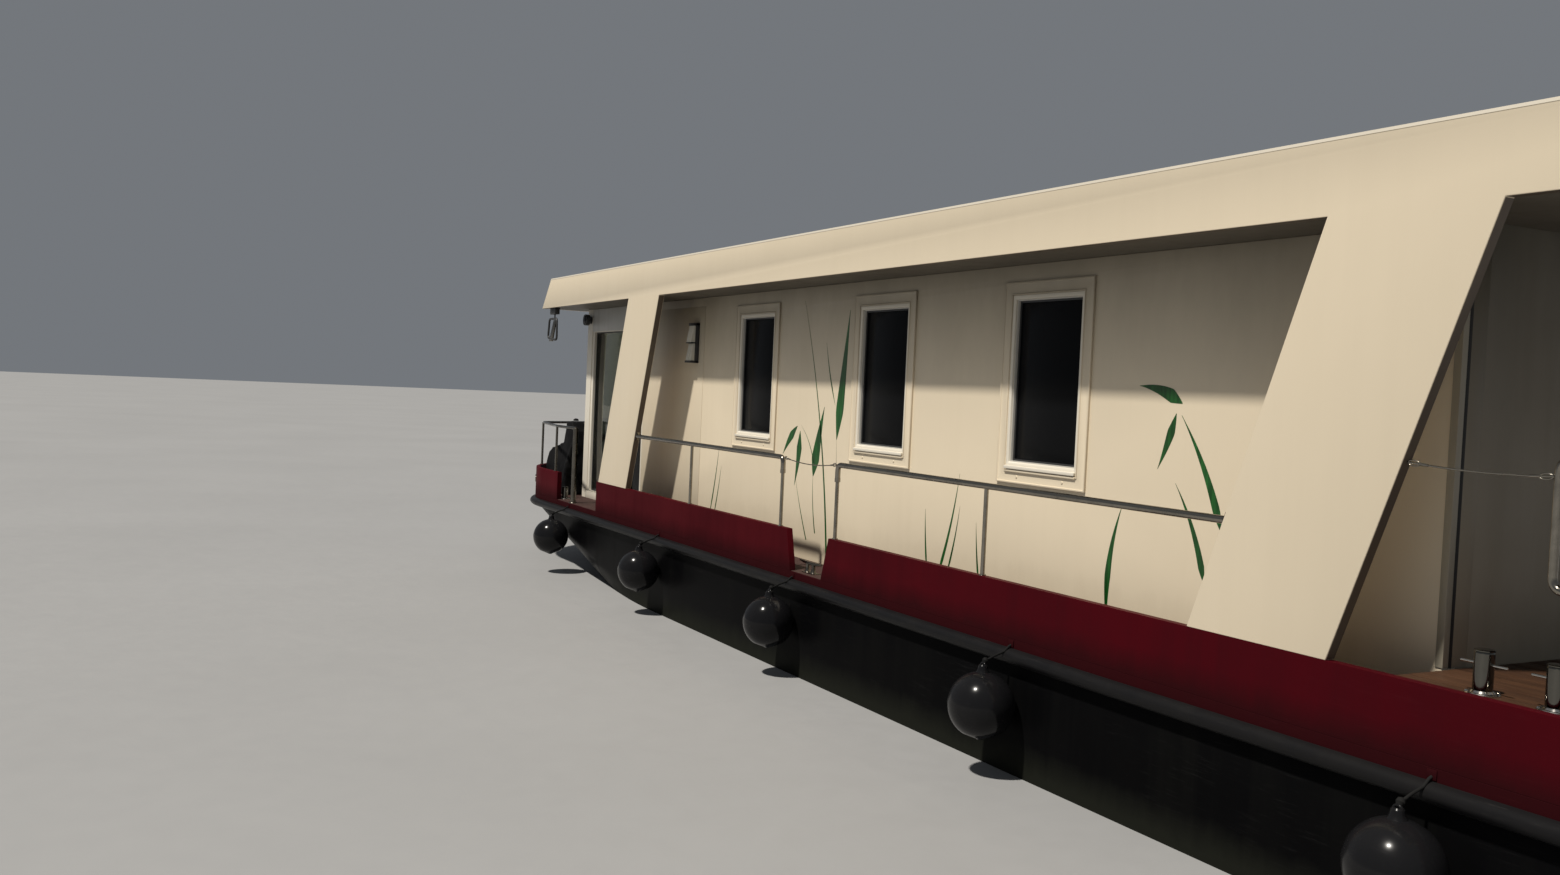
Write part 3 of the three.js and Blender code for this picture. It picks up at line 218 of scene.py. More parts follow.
def pick(item, choose, kind="faces"):
    """Opens the piece in edit mode with just the chosen faces, edges or verts selected."""
    only(item)
    bpy.ops.object.mode_set(mode="EDIT")
    bpy.ops.mesh.select_mode(type={"faces": "FACE", "edges": "EDGE", "verts": "VERT"}[kind])
    bpy.ops.mesh.select_all(action="DESELECT")
    shape = bmesh.from_edit_mesh(item.data)
    shape.normal_update()
    for part in getattr(shape, kind):
        part.select_set(bool(choose(part)))
    shape.select_flush_mode()
    bmesh.update_edit_mesh(item.data)


def everything(_part):
    return True


def cleaned(item):
    """Merges doubled points, turns the faces outwards and goes back to object mode."""
    pick(item, everything)
    bpy.ops.mesh.remove_doubles(threshold=0.00005)
    bpy.ops.mesh.normals_make_consistent(inside=False)
    bpy.ops.object.mode_set(mode="OBJECT")
    return item


def applied(item, kind, **values):
    """Adds a modifier with these values and applies it."""
    modifier = item.modifiers.new(kind.title(), kind)
    for name, value in values.items():
        setattr(modifier, name, value)
    only(item)
    bpy.ops.object.modifier_apply(modifier=modifier.name)
    return item


def cut_by(item, *tools, operation="DIFFERENCE"):
    """Takes the tools' solids out of the piece, or keeps just what lies in them."""
    for tool in tools:
        applied(item, "BOOLEAN", object=tool, operation=operation, solver="EXACT")
        drop(tool)
    return item


def smoothed(item, angle=SMOOTH_ANGLE):
    only(item)
    bpy.ops.object.shade_smooth_by_angle(angle=angle)
    return item


def rounded(item, width=0.003, segments=2):
    """Rounds the sharp edges and shades the rest smooth."""
    applied(item, "BEVEL", width=width, segments=segments, limit_method="ANGLE", angle_limit=math.radians(32))
    return smoothed(item)


def block(name, low, high):
    """A square block between two corners."""
    only()
    bpy.ops.mesh.primitive_cube_add(size=1, location=[(a + b) / 2 for a, b in zip(low, high)],
                                    scale=[abs(b - a) for a, b in zip(low, high)])
    return named(name)


def slab(name, low, high, edge, segments=2):
    """A block with rounded edges."""
    return rounded(block(name, low, high), edge, segments)


def oval(count, wide, high=None):
    """Points round an oval, or round a circle when only one radius is given."""
    turns = [i / count * 2 * math.pi for i in range(count)]
    return [(wide * math.cos(turn), (high or wide) * math.sin(turn)) for turn in turns]


def turned(name, profile, place=(0, 0, 0), axis=UP, steps=32):
    """A turned piece: a profile of (radius, height) points spun about its axis."""
    only()
    mesh = bpy.data.meshes.new(name)
    mesh.from_pydata([(r, 0, z) for r, z in profile], [(i, i + 1) for i in range(len(profile) - 1)], [])
    made = linked(name, mesh)
    pick(made, everything, "verts")
    bpy.ops.mesh.spin(steps=steps, angle=2 * math.pi, center=(0, 0, 0), axis=UP)
    cleaned(made)
    turn = Vector(UP).rotation_difference(Vector(axis)).to_matrix().to_4x4()
    made.data.transform(Matrix.Translation(place) @ turn)
    return smoothed(made)


def rod(name, start, end, radius, edge=0.002, steps=20):
    """A round bar with rounded ends."""
    run = Vector(end) - Vector(start)
    reach = run.length
    profile = [(0, 0), (radius - edge, 0), (radius, edge), (radius, reach - edge), (radius - edge, reach), (0, reach)]
    return turned(name, profile, start, run, steps)


def filleted(points, radius, closed=False):
    """The points of a broken line with each corner rounded."""
    line = [Vector(point) for point in points]
    count = len(line)
    path = [] if closed else [line[0]]
    for i in range(count) if closed else range(1, count - 1):
        before, corner, after = line[i - 1], line[i], line[(i + 1) % count]
        back, ahead = before - corner, after - corner
        angle = back.angle(ahead)
        reach = min(radius / math.tan(angle / 2), back.length * 0.49, ahead.length * 0.49)
        start, end = corner + back.normalized() * reach, corner + ahead.normalized() * reach
        for step in range(9):
            t = step / 8
            path.append(start.lerp(corner, t).lerp(corner.lerp(end, t), t))
    return path if closed else path + [line[-1]]


def tube(name, points, radius, corner=0.0, closed=False, thickness=None, sides=6):
    """A round tube along a line, with rounded corners and closed ends."""
    path = filleted(points, corner, closed) if corner else [Vector(point) for point in points]
    line = bpy.data.curves.new(name, "CURVE")
    line.dimensions = "3D"
    line.bevel_depth, line.bevel_resolution = radius, sides
    line.use_fill_caps = not closed
    spline = line.splines.new("POLY")
    spline.points.add(len(path) - 1)
    spline.use_cyclic_u = closed
    for i, (knot, point) in enumerate(zip(spline.points, path)):
        knot.co = (*point, 1)
        knot.radius = thickness[i] if thickness else 1
    only(linked(name, line))
    bpy.ops.object.convert(target="MESH")
    made = bpy.context.object
    made.name = made.data.name = name
    return smoothed(cleaned(made), math.radians(40))


def ring(name, points, radius, sides=3):
    """A closed loop of round wire."""
    return tube(name, points, radius, closed=True, sides=sides)


def loft(name, rings):
    """A closed skin over outlines that have the same number of points, each extruded to the next."""
    only()
    bpy.ops.mesh.primitive_circle_add(vertices=len(rings[0]), radius=1, fill_type="NGON")
    made = named(name)
    for vertex, point in zip(made.data.vertices, rings[0]):
        vertex.co = point
    last = [Vector(point) for point in rings[0]]
    for outline in rings[1:]:
        if len(made.data.vertices) == len(last):
            pick(made, everything)
        else:
            bpy.ops.object.mode_set(mode="EDIT")
        bpy.ops.mesh.extrude_region_move()
        bpy.ops.object.mode_set(mode="OBJECT")
        for vertex in [vertex for vertex in made.data.vertices if vertex.select]:
            nearest = min(range(len(last)), key=lambda i: (last[i] - vertex.co).length_squared)
            vertex.co = outline[nearest]
        last = [Vector(point) for point in outline]
    return cleaned(made)


def prism(name, outline, low, high, axis="y"):
    """A flat outline carried along an axis: it holds the two other places, in their order."""
    place = {"x": lambda u, v, edge: (edge, u, v), "y": lambda u, v, edge: (u, edge, v),
             "z": lambda u, v, edge: (u, v, edge)}[axis]
    return loft(name, [[place(u, v, edge) for u, v in outline] for edge in (low, high)])


def opened(name, low, high, axis, hole_low, hole_high):
    """A block with a square hole through it along one axis."""
    made = block(name, low, high)
    pick(made, lambda face: abs(face.normal[axis]) > 0.9)
    bpy.ops.mesh.inset(thickness=0.01, depth=0)
    size = [1.0 if i == axis else (hole_high[i] - hole_low[i]) / (high[i] - low[i] - 0.02) for i in range(3)]
    centre = [(a + b) / 2 for a, b in zip(low, high)]
    shift = [0.0 if i == axis else (hole_low[i] + hole_high[i]) / 2 - centre[i] for i in range(3)]
    bpy.ops.transform.resize(value=size, center_override=centre)
    bpy.ops.transform.translate(value=shift)
    bpy.ops.mesh.bridge_edge_loops()
    return cleaned(made)


def bisected(item, place, direction):
    """Keeps the part of a piece that lies ahead of a plane, and closes the cut."""
    pick(item, everything)
    bpy.ops.mesh.bisect(plane_co=place, plane_no=direction, clear_inner=True, use_fill=True)
    return cleaned(item)


def joined(name, parts):
    """Several parts as one piece."""
    made = parts[0]
    if len(parts) > 1:
        only(*parts)
        bpy.ops.object.join()
        made = bpy.context.object
    made.name = made.data.name = name
    return made


def copied(item, name, shift=(0, 0, 0), mirror=False):
    """Another of the same piece, moved, or turned over to the other side of the boat."""
    made = linked(name, item.data.copy())
    made.data.transform(Matrix.Translation(shift))
    if mirror:
        made.data.transform(Matrix.Scale(-1, 4, (0, 1, 0)))
        cleaned(made)
    return made


def node_copy(name, node):
    """A copy of a frame node with its triangles joined into flat faces."""
    made = linked(name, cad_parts[node].data.copy())
    made.data.materials.clear()
    cleaned(made)
    pick(made, everything)
    bpy.ops.mesh.dissolve_limited(angle_limit=math.radians(1))
    bpy.ops.object.mode_set(mode="OBJECT")
    return made


def placed(item, finish, node="", body="boat"):
    """Gives a finished piece its finish and its body, and hides the frame node that it stands for."""
    surface, usual_slot = FINISHES[finish]
    item.data.materials.clear()
    item.data.materials.append(surface)
    if node:
        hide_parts(node)
    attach(item, body)
    return item


def softened(name, node, finish, width=0.004):
    """Puts a frame node's own shape in place, with its edges rounded."""
    return placed(rounded(node_copy(name, node), width), finish, node)


def both_sides(item, label, finish, node="", shift=(0, 0, 0)):
    """Places a copy of a port piece on each side. The label and the node end with the side's name."""
    for side, sign in SIDES:
        placed(copied(item, label + side, shift, sign < 0), finish, node and node + side)


# Shader tools

def feed(tree, socket, value):
    """Links a socket to the input, or sets the input's value."""
    if isinstance(value, bpy.types.NodeSocket):
        tree.links.new(value, socket)
    elif hasattr(value, "__len__") and len(value) == 3 and socket.type == "RGBA":
        socket.default_value = (*value, 1)
    else:
        socket.default_value = value


def put(tree, kind, **values):
    """Adds a node. Lower-case names are its settings and the others its inputs."""
    made = tree.nodes.new("ShaderNode" + kind)
    for name, value in values.items():
        if name[0].islower():
            setattr(made, name, value)
        else:
            feed(tree, made.inputs[name.replace("_", " ")], value)
    return made


def mixed(tree, factor, first, second):
    made = put(tree, "Mix", data_type="RGBA")
    for place, value in ((0, factor), (6, first), (7, second)):
        feed(tree, made.inputs[place], value)
    return made.outputs[2]


def ranged(tree, value, low, high, to_low=0.0, to_high=1.0):
    return put(tree, "MapRange", Value=value, From_Min=low, From_Max=high,
               To_Min=to_low, To_Max=to_high).outputs[0]


def blended(tree, value, low, high, first, second, most=1.0):
    """Fades from one colour to another as a value goes from low to high."""
    return mixed(tree, ranged(tree, value, low, high, 0.0, most), first, second)


def noise(tree, vector, scale, detail=3.0, roughness=0.55, stretch=None):
    if stretch:
        vector = put(tree, "Mapping", Vector=vector, Scale=stretch).outputs[0]
    return put(tree, "TexNoise", Vector=vector, Scale=scale, Detail=detail, Roughness=roughness).outputs[0]


def maths(tree, operation, first, second=0.0, third=0.0):
    made = put(tree, "Math", operation=operation)
    for place, value in enumerate((first, second, third)):
        feed(tree, made.inputs[place], value)
    return made.outputs[0]


def lay(tree, shader, colour, roughness, height=None, strength=0.0, distance=0.0):
    """Feeds a colour, a roughness and a fine relief to the shader."""
    tree.links.new(colour, shader.inputs["Base Color"])
    tree.links.new(roughness, shader.inputs["Roughness"])
    if height is not None:
        bump = put(tree, "Bump", Height=height, Strength=strength, Distance=distance)
        tree.links.new(bump.outputs[0], shader.inputs["Normal"])


def node_group(build, inputs, outputs):
    """A shader node group, named after the function that builds it, with named inputs and outputs."""
    tree = bpy.data.node_groups.new(build.__name__, "ShaderNodeTree")
    for label, default in {"Vector": None, **inputs}.items():
        kind = {"Vector": "Vector", "Colour": "Color", "Dirt": "Color"}.get(label, "Float")
        socket = tree.interface.new_socket(name=label, in_out="INPUT", socket_type="NodeSocket" + kind)
        if default is not None:
            socket.default_value = default
    for label in outputs:
        kind = "Color" if label == "Colour" else "Float"
        tree.interface.new_socket(name=label, in_out="OUTPUT", socket_type="NodeSocket" + kind)
    inside, outside = tree.nodes.new("NodeGroupInput"), tree.nodes.new("NodeGroupOutput")
    for label, value in build(tree, inside.outputs).items():
        tree.links.new(value, outside.inputs[label])


def grouped(tree, name, **inputs):
    made = put(tree, "Group", node_tree=bpy.data.node_groups[name])
    for label, value in inputs.items():
        feed(tree, made.inputs[label], value)
    return made.outputs


def weathering(tree, given):
    """Broad mottling, streaks that run down and a fine grain."""
    place = given["Vector"]
    mottle = ranged(tree, noise(tree, place, 1.3, 5.0), 0.35, 0.68)
    streak = ranged(tree, noise(tree, place, 1.0, 5.0, 0.6, (6.0, 6.0, 0.30)), 0.48, 0.80)
    grain = noise(tree, place, 70.0, 2.0)
    dark = maths(tree, "ADD", maths(tree, "MULTIPLY", mottle, given["Mottle"]),
                 maths(tree, "MULTIPLY", streak, given["Streaks"]))
    shade = mixed(tree, maths(tree, "MINIMUM", dark, 1.0), given["Colour"], given["Dirt"])
    rough = maths(tree, "MULTIPLY_ADD", mottle, 0.10, maths(tree, "MULTIPLY_ADD", streak, 0.12, given["Roughness"]))
    return {"Colour": shade, "Roughness": rough, "Height": grain}


def raised_above(tree, given, ragged, weight):
    """Height above a level in parts of the reach, made ragged by noise."""
    height = put(tree, "SeparateXYZ", Vector=given["Vector"]).outputs[2]
    share = maths(tree, "DIVIDE", maths(tree, "SUBTRACT", height, given["Level"]), given["Reach"])
    return maths(tree, "MULTIPLY_ADD", ragged, weight, share)


def low_grime(tree, given):
    """A ragged mask that fades upwards from a level."""
    ragged = noise(tree, given["Vector"], 3.0, 5.0, 0.65, (2.2, 2.2, 0.8))
    return {"Mask": ranged(tree, raised_above(tree, given, ragged, -0.9), 0.55, -0.45)}


def eave_dust(tree, given):
    """A soft dark mask of painted shade that grows upwards to a level under an eave."""
    ragged = noise(tree, given["Vector"], 2.0, 4.0, 0.6, (1.5, 1.5, 0.6))
    return {"Mask": ranged(tree, raised_above(tree, given, ragged, 0.3), -0.85, 0.15)}


def scuffs(tree, given):
    """Short scratches in dull patches."""
    fine = noise(tree, given["Vector"], 3.0, 6.0, 0.7, (2.0, 14.0, 30.0))
    patch = noise(tree, given["Vector"], 2.4, 4.0)
    return {"Mask": maths(tree, "MULTIPLY", ranged(tree, fine, 0.56, 0.72), ranged(tree, patch, 0.45, 0.65))}


def boards(tree, given):
    """Lanes along X with a shade each, and grain that follows them."""
    along, across, up = put(tree, "SeparateXYZ", Vector=given["Vector"]).outputs
    lane = maths(tree, "FLOOR", maths(tree, "DIVIDE", across, given["Width"]))
    shade = put(tree, "TexWhiteNoise", noise_dimensions="1D", W=lane).outputs[0]
    shifted = put(tree, "CombineXYZ", X=maths(tree, "MULTIPLY_ADD", lane, 3.7, along), Y=across, Z=up).outputs[0]
    return {"Shade": shade, "Grain": noise(tree, shifted, 2.2, 6.0, 0.65, (1.6, 30.0, 30.0))}


def brushed(tree, given):
    """Fine rubbing marks and cloudy fingerprints on bright metal."""
    cloud = noise(tree, given["Vector"], 9.0, 4.0)
    line = noise(tree, given["Vector"], 4.0, 3.0, stretch=(60.0, 60.0, 60.0))
    return {"Roughness": ranged(tree, cloud, 0.3, 0.75, 0.12, 0.34), "Cloud": cloud, "Height": line}


def weave(tree, given):
    """Crossing threads."""
    scaled = put(tree, "VectorMath", operation="SCALE", Vector=given["Vector"], Scale=given["Scale"]).outputs[0]
    threads = [put(tree, "TexWave", Vector=scaled, Scale=1.0, wave_type="BANDS", bands_direction=way).outputs[1]
               for way in ("X", "Y", "Z")]
    return {"Height": maths(tree, "ADD", maths(tree, "MULTIPLY", threads[0], threads[1]), threads[2])}


def make_groups():
    node_group(weathering, dict(Colour=(0.5, 0.5, 0.5, 1), Dirt=(0.1, 0.1, 0.1, 1), Mottle=0.1, Streaks=0.1,
                                Roughness=0.4), ("Colour", "Roughness", "Height"))
    node_group(low_grime, dict(Level=0.5, Reach=0.2), ("Mask",))
    node_group(eave_dust, dict(Level=3.6, Reach=0.5), ("Mask",))
    node_group(scuffs, {}, ("Mask",))
    node_group(boards, dict(Width=0.14), ("Shade", "Grain"))
    node_group(brushed, {}, ("Roughness", "Cloud", "Height"))
    node_group(weave, dict(Scale=100.0), ("Height",))


# Finishes

FINISHES = {}


def finish(name, slot, paint, **constants):
    """A material whose paint function lays its pattern, and whose constants are set on the shader itself."""
    surface = bpy.data.materials.new(name)
    surface.use_nodes = True
    tree = surface.node_tree
    shader = tree.nodes["Principled BSDF"]
    for label, value in constants.items():
        shader.inputs[label.replace("_", " ")].default_value = value
    paint(tree, tree.nodes.new("ShaderNodeTexCoord").outputs["Object"], shader)
    FINISHES[name] = surface, slot


def toned(colour, amount, lift=0.0):
    return tuple(part * amount + lift for part in colour)


def coat(name, slot, base, dirt, mottle, streaks, rough, bump, grime=None, dust=None, chips=None, **constants):
    """A painted or plastic surface: weathering, grime from a level up, painted shade that darkens it towards an eave,
    and lighter scuffs.
    """
    def paint(tree, place, shader):
        worn = grouped(tree, "weathering", Vector=place, Colour=base, Dirt=dirt, Mottle=mottle,
                       Streaks=streaks, Roughness=rough)
        shade, roughness = worn["Colour"], worn["Roughness"]
        # The eave layer is painted shade under the roof's overhang; the grime and scuff layers are real dirt and wear.
        for kind, layer, dulling in (("low_grime", grime, 0.25), ("eave_dust", dust, 0.0), ("scuffs", chips, 0.3)):
            if layer:
                *reach, tone, amount = layer
                marks = grouped(tree, kind, Vector=place, **dict(zip(("Level", "Reach"), reach)))
                mask = maths(tree, "MULTIPLY", marks["Mask"], amount)
                shade = mixed(tree, mask, shade, tone)
                if dulling:
                    roughness = maths(tree, "MULTIPLY_ADD", mask, dulling, roughness)
        lay(tree, shader, shade, roughness, worn["Height"], bump, 0.002)
    finish(name, slot, paint, **constants)


def metal(name, slot, base, dull, extra=0.0):
    """Bright metal with cloudy dull spots."""
    def paint(tree, place, shader):
        marks = grouped(tree, "brushed", Vector=place)
        lay(tree, shader, blended(tree, marks["Cloud"], 0.45, 0.8, base, dull),
            maths(tree, "ADD", marks["Roughness"], extra), marks["Height"], 0.03, 0.001)
    finish(name, slot, paint, Metallic=1.0)


def boarded(base, dark, width, rough, bump):
    def paint(tree, place, shader):
        lanes = grouped(tree, "boards", Vector=place, Width=width)
        shade = blended(tree, lanes["Grain"], 0.30, 0.72, base, dark)
        shade = blended(tree, lanes["Shade"], 0.0, 1.0, shade, dark, 0.42)
        shade = blended(tree, noise(tree, place, 1.7, 4.0), 0.5, 0.85, shade, toned(base, 2.0, 0.008), 0.35)
        lay(tree, shader, shade, ranged(tree, lanes["Grain"], 0.3, 0.7, rough - 0.06, rough + 0.14),
            lanes["Grain"], bump, 0.004)
    return paint


def screened_glass(tree, place, shader):
    """Near-black glass with an insect screen behind it and a film of dust."""
    threads = grouped(tree, "weave", Vector=place, Scale=55.0)["Height"]
    dust = noise(tree, place, 3.0, 5.0)
    shade = blended(tree, threads, 0.4, 1.6, (0.0042, 0.0045, 0.0052), (0.008, 0.0085, 0.010), 0.5)
    lay(tree, shader, blended(tree, dust, 0.5, 0.9, shade, (0.022, 0.022, 0.020), 0.12),
        ranged(tree, dust, 0.3, 0.8, 0.14, 0.26))


def clear_glass(tree, place, shader):
    dust = noise(tree, place, 4.0, 5.0, stretch=(1.0, 1.0, 0.35))
    lay(tree, shader, blended(tree, dust, 0.45, 0.8, (0.34, 0.355, 0.29), (0.30, 0.31, 0.25)),
        ranged(tree, dust, 0.4, 0.9, 0.01, 0.07))


def reed_vinyl(base):
    """Printed leaves with paler veins and yellower patches."""
    def paint(tree, place, shader):
        vein = noise(tree, place, 1.6, 4.0, stretch=(40.0, 40.0, 3.0))
        shade = blended(tree, vein, 0.42, 0.72, base, toned(base, 2.4, 0.004))
        shade = blended(tree, noise(tree, place, 5.0, 3.0), 0.45, 0.8, shade,
                        (base[0] * 1.4, base[1] * 0.5, base[2]), 0.5)
        lay(tree, shader, shade, ranged(tree, vein, 0.3, 0.8, 0.30, 0.48), vein, 0.05, 0.001)
    return paint


def cloth(tree, place, shader):
    """Woven cover that is paler on its folds."""
    threads = grouped(tree, "weave", Vector=place, Scale=120.0)["Height"]
    fold = noise(tree, place, 6.0, 5.0)
    lay(tree, shader, blended(tree, fold, 0.35, 0.75, (0.0045, 0.0045, 0.005), (0.011, 0.011, 0.012)),
        ranged(tree, fold, 0.3, 0.8, 0.62, 0.82), threads, 0.25, 0.001)


def non_skid(tree, place, shader):
    """Sanded deck paint, dirtier in broad patches."""
    sand = noise(tree, place, 260.0, 2.0)
    patch = noise(tree, place, 2.0, 5.0)
    shade = blended(tree, patch, 0.4, 0.75, (0.052, 0.027, 0.024), (0.034, 0.020, 0.017))
    lay(tree, shader, blended(tree, sand, 0.45, 0.7, shade, (0.062, 0.046, 0.040), 0.5),
        ranged(tree, patch, 0.3, 0.8, 0.62, 0.8), sand, 0.5, 0.002)


def membrane(tree, place, shader):
    """Roof sheet with welded seams across the boat and puddle marks."""
    along = put(tree, "SeparateXYZ", Vector=place).outputs[0]
    lap = ranged(tree, maths(tree, "PINGPONG", along, 0.75), 0.0, 0.03, 1.0, 0.0)
    puddle = noise(tree, place, 0.9, 6.0, 0.6)
    shade = blended(tree, puddle, 0.42, 0.66, (0.46, 0.44, 0.40), (0.30, 0.285, 0.25))
    lay(tree, shader, mixed(tree, maths(tree, "MULTIPLY", lap, 0.4), shade, (0.22, 0.21, 0.19)),
        ranged(tree, puddle, 0.3, 0.7, 0.5, 0.72),
        maths(tree, "ADD", lap, maths(tree, "MULTIPLY", noise(tree, place, 120.0), 0.15)), 0.5, 0.003)


class HOUSEBOAT_OT_finishes(bpy.types.Operator):
    """Make the shader groups and the finishes of all pieces"""
    bl_idname = "houseboat.finishes"
    bl_label = "Finishes"

    def execute(self, context):
        paint, hull = settings("paint"), settings("hull")
        cream, steel = tuple(paint.cream), tuple(paint.steel)
        make_groups()

        # Base colour, dirt, mottling, streaks, roughness and relief of each coat
        deck_splash, terrace_splash = DECK_TOP + 0.02, TERRACE_TOP + 0.02
        # The eave layer is painted shade: it darkens the walls, the casings and the aft wall towards the soffit.
        eave = (SOFFIT, 0.75, (0.12, 0.105, 0.075), 0.84)
        coat("cream_paint", "cream_panel", cream, (0.40, 0.33, 0.22), 0.06, 0.07, 0.40, 0.05,
             grime=(deck_splash, 0.35, (0.34, 0.28, 0.19), 0.35), dust=eave)
        coat("casing_paint", "cream_panel", toned(cream, 1.03), (0.42, 0.35, 0.25), 0.05, 0.05, 0.34, 0.03, dust=eave)
        coat("shaded_cream", "cream_panel", toned(cream, 0.50), (0.20, 0.16, 0.10), 0.08, 0.10, 0.42, 0.05,
             grime=(terrace_splash, 0.35, (0.14, 0.115, 0.075), 0.35), dust=(SOFFIT, 1.9, (0.050, 0.044, 0.028), 0.92))
        # A lighter copy of the cream paint, as painted light on the fascias and side frames, which are the same paint
        # as the walls.
        coat("cream_frame", "cream_panel", toned(cream, 1.16), (0.48, 0.40, 0.28), 0.06, 0.06, 0.38, 0.05)
        coat("burgundy_paint", "burgundy_paint", tuple(paint.burgundy), (0.028, 0.004, 0.006), 0.40, 0.30, 0.38, 0.05,
             grime=(DECK_TOP + 0.01, 0.14, (0.020, 0.004, 0.005), 0.8), chips=((0.11, 0.02, 0.025), 0.10),
             Specular_IOR_Level=0.015)
        coat("hull_paint", "hull_black", tuple(paint.hull), (0.006, 0.006, 0.0055), 0.25, 0.45, 0.28, 0.10,
             grime=(hull.waterline + 0.05, 0.16, (0.015, 0.016, 0.012), 0.75), chips=((0.020, 0.020, 0.020), 0.30),
             Specular_IOR_Level=0.02)
        coat("rail_rubber", "black_rubber", tuple(paint.rubber), (0.015, 0.014, 0.013), 0.35, 0.30, 0.30, 0.12,
             chips=((0.05, 0.046, 0.043), 0.22), Specular_IOR_Level=0.08)
        coat("fender_vinyl", "black_rubber", (0.006, 0.006, 0.007), (0.016, 0.016, 0.016), 0.25, 0.15, 0.13, 0.03,
             chips=((0.05, 0.05, 0.05), 0.14), Coat_Weight=0.10, Coat_Roughness=0.10, Specular_IOR_Level=0.12)
        coat("rope", "black_rubber", (0.006, 0.006, 0.0065), (0.02, 0.02, 0.019), 0.5, 0.2, 0.7, 0.6,
             Specular_IOR_Level=0.08)
        coat("engine_paint", "engine_paint", (0.045, 0.075, 0.055), (0.02, 0.02, 0.016), 0.35, 0.25, 0.42, 0.2,
             chips=((0.20, 0.19, 0.17), 0.3), Metallic=0.2)
        coat("caulking", "deck_planks", (0.010, 0.010, 0.010), (0.03, 0.03, 0.03), 0.3, 0.1, 0.6, 0.2)
        # Its eave layer is painted shade on the window frames towards the soffit.
        coat("white_plastic", "white_plastic", tuple(paint.plastic), (0.50, 0.46, 0.38), 0.08, 0.06, 0.30, 0.03,
             dust=(SOFFIT, 0.75, (0.26, 0.24, 0.19), 0.6))
        coat("trim_plastic", "cream_panel", (0.78, 0.715, 0.60), (0.50, 0.45, 0.36), 0.08, 0.08, 0.30, 0.03)
        coat("shaded_trim", "cream_panel", (0.33, 0.30, 0.235), (0.22, 0.20, 0.15), 0.08, 0.08, 0.34, 0.03)
        # Lightened as painted light on the window reveals, which sit in shade.
        coat("pale_grey_plastic", "white_plastic", (0.50, 0.485, 0.445), (0.24, 0.23, 0.20), 0.12, 0.15, 0.36, 0.04)
        coat("grey_plastic", "white_plastic", (0.34, 0.335, 0.315), (0.16, 0.15, 0.13), 0.15, 0.2, 0.36, 0.05)
        coat("charcoal_plastic", "dark_plastic", (0.022, 0.023, 0.025), (0.06, 0.058, 0.055), 0.2, 0.15, 0.42, 0.2)
        coat("opal_glass", "lamp_glass", (0.62, 0.60, 0.52), (0.40, 0.38, 0.31), 0.08, 0.10, 0.18, 0.01)
        # The edge strips' dark brown is partly the edge colour and partly painted shade.
        coat("brown_trim", "cream_panel", tuple(paint.trim), (0.045, 0.032, 0.024), 0.3, 0.3, 0.42, 0.08)
        # The soffit's dark colour is painted shade under the roof.
        coat("soffit_panel", "cream_panel", tuple(paint.soffit), (0.070, 0.062, 0.050), 0.12, 0.0, 0.5, 0.05,
             Specular_IOR_Level=0.2)

        metal("bronze", "bronze", (0.52, 0.35, 0.15), (0.20, 0.26, 0.17), 0.12)
        # The stainless colour is darkened: painted shade in its reflections.
        metal("stainless", "stainless_steel", steel, toned(steel, 0.62))
        # Dark and bright copies of one stainless: painted reflection, dark on the bollard posts and bright as
        # highlights on their pins, flanges, plates and bolts.
        metal("dark_chrome", "stainless_steel", (0.13, 0.125, 0.11), (0.07, 0.066, 0.058), -0.06)
        metal("bright_steel", "stainless_steel", (0.58, 0.55, 0.50), (0.32, 0.30, 0.27), -0.04)
        # A darker copy of the stainless, as painted shade.
        metal("dark_steel", "stainless_steel", toned(steel, 0.55), toned(steel, 0.34), 0.05)

        planks = boarded(tuple(paint.planks), (0.036, 0.017, 0.010), hull.plank_width, 0.46, 0.35)
        finish("teak_planks", "deck_planks", planks, Specular_IOR_Level=0.15)
        finish("laminate", "floor_laminate", boarded((0.30, 0.19, 0.105), (0.17, 0.10, 0.055), 0.19, 0.32, 0.08))
        finish("screened_glass", "window_glass", screened_glass, Specular_IOR_Level=0.06)
        finish("clear_glass", "window_glass", clear_glass, Transmission_Weight=1.0, IOR=1.25)
        finish("black_cloth", "black_cloth", cloth, Specular_IOR_Level=0.10)
        finish("deck_sand", "burgundy_paint", non_skid, Specular_IOR_Level=0.12)
        finish("roof_sheet", "cream_panel", membrane)
        finish("reed_vinyl", "dark_plastic", reed_vinyl(tuple(paint.reeds)))
        return {"FINISHED"}


# Hull and decks

def plan_outline(z, stern, beam, start, tip, nose, steps):
    """Outline at one height: straight sides, and a quarter ellipse on each side of a flat nose."""
    quarter = []
    for i in range(steps + 1):
        angle = i / steps * math.pi / 2
        quarter.append((start + (tip - start) * math.sin(angle), nose + (beam - nose) * math.cos(angle)))
    return ([(stern, -beam, z)] + [(x, -y, z) for x, y in quarter]
            + [(x, y, z) for x, y in reversed(quarter)] + [(stern, beam, z)])


def deck_outline(z, inset=0.0):
    """Outline of the deck's edge, drawn in by the inset."""
    return plan_outline(z, STERN_X + inset, HALF_BEAM - inset, BOW_X - BOW_RADIUS, BOW_X - inset,
                        HALF_BEAM - BOW_RADIUS, settings("hull").bow_steps)


def engine_well():
    return block("well", (-6.66, -0.41, 0.56), (-5.69, 0.41, 1.5))


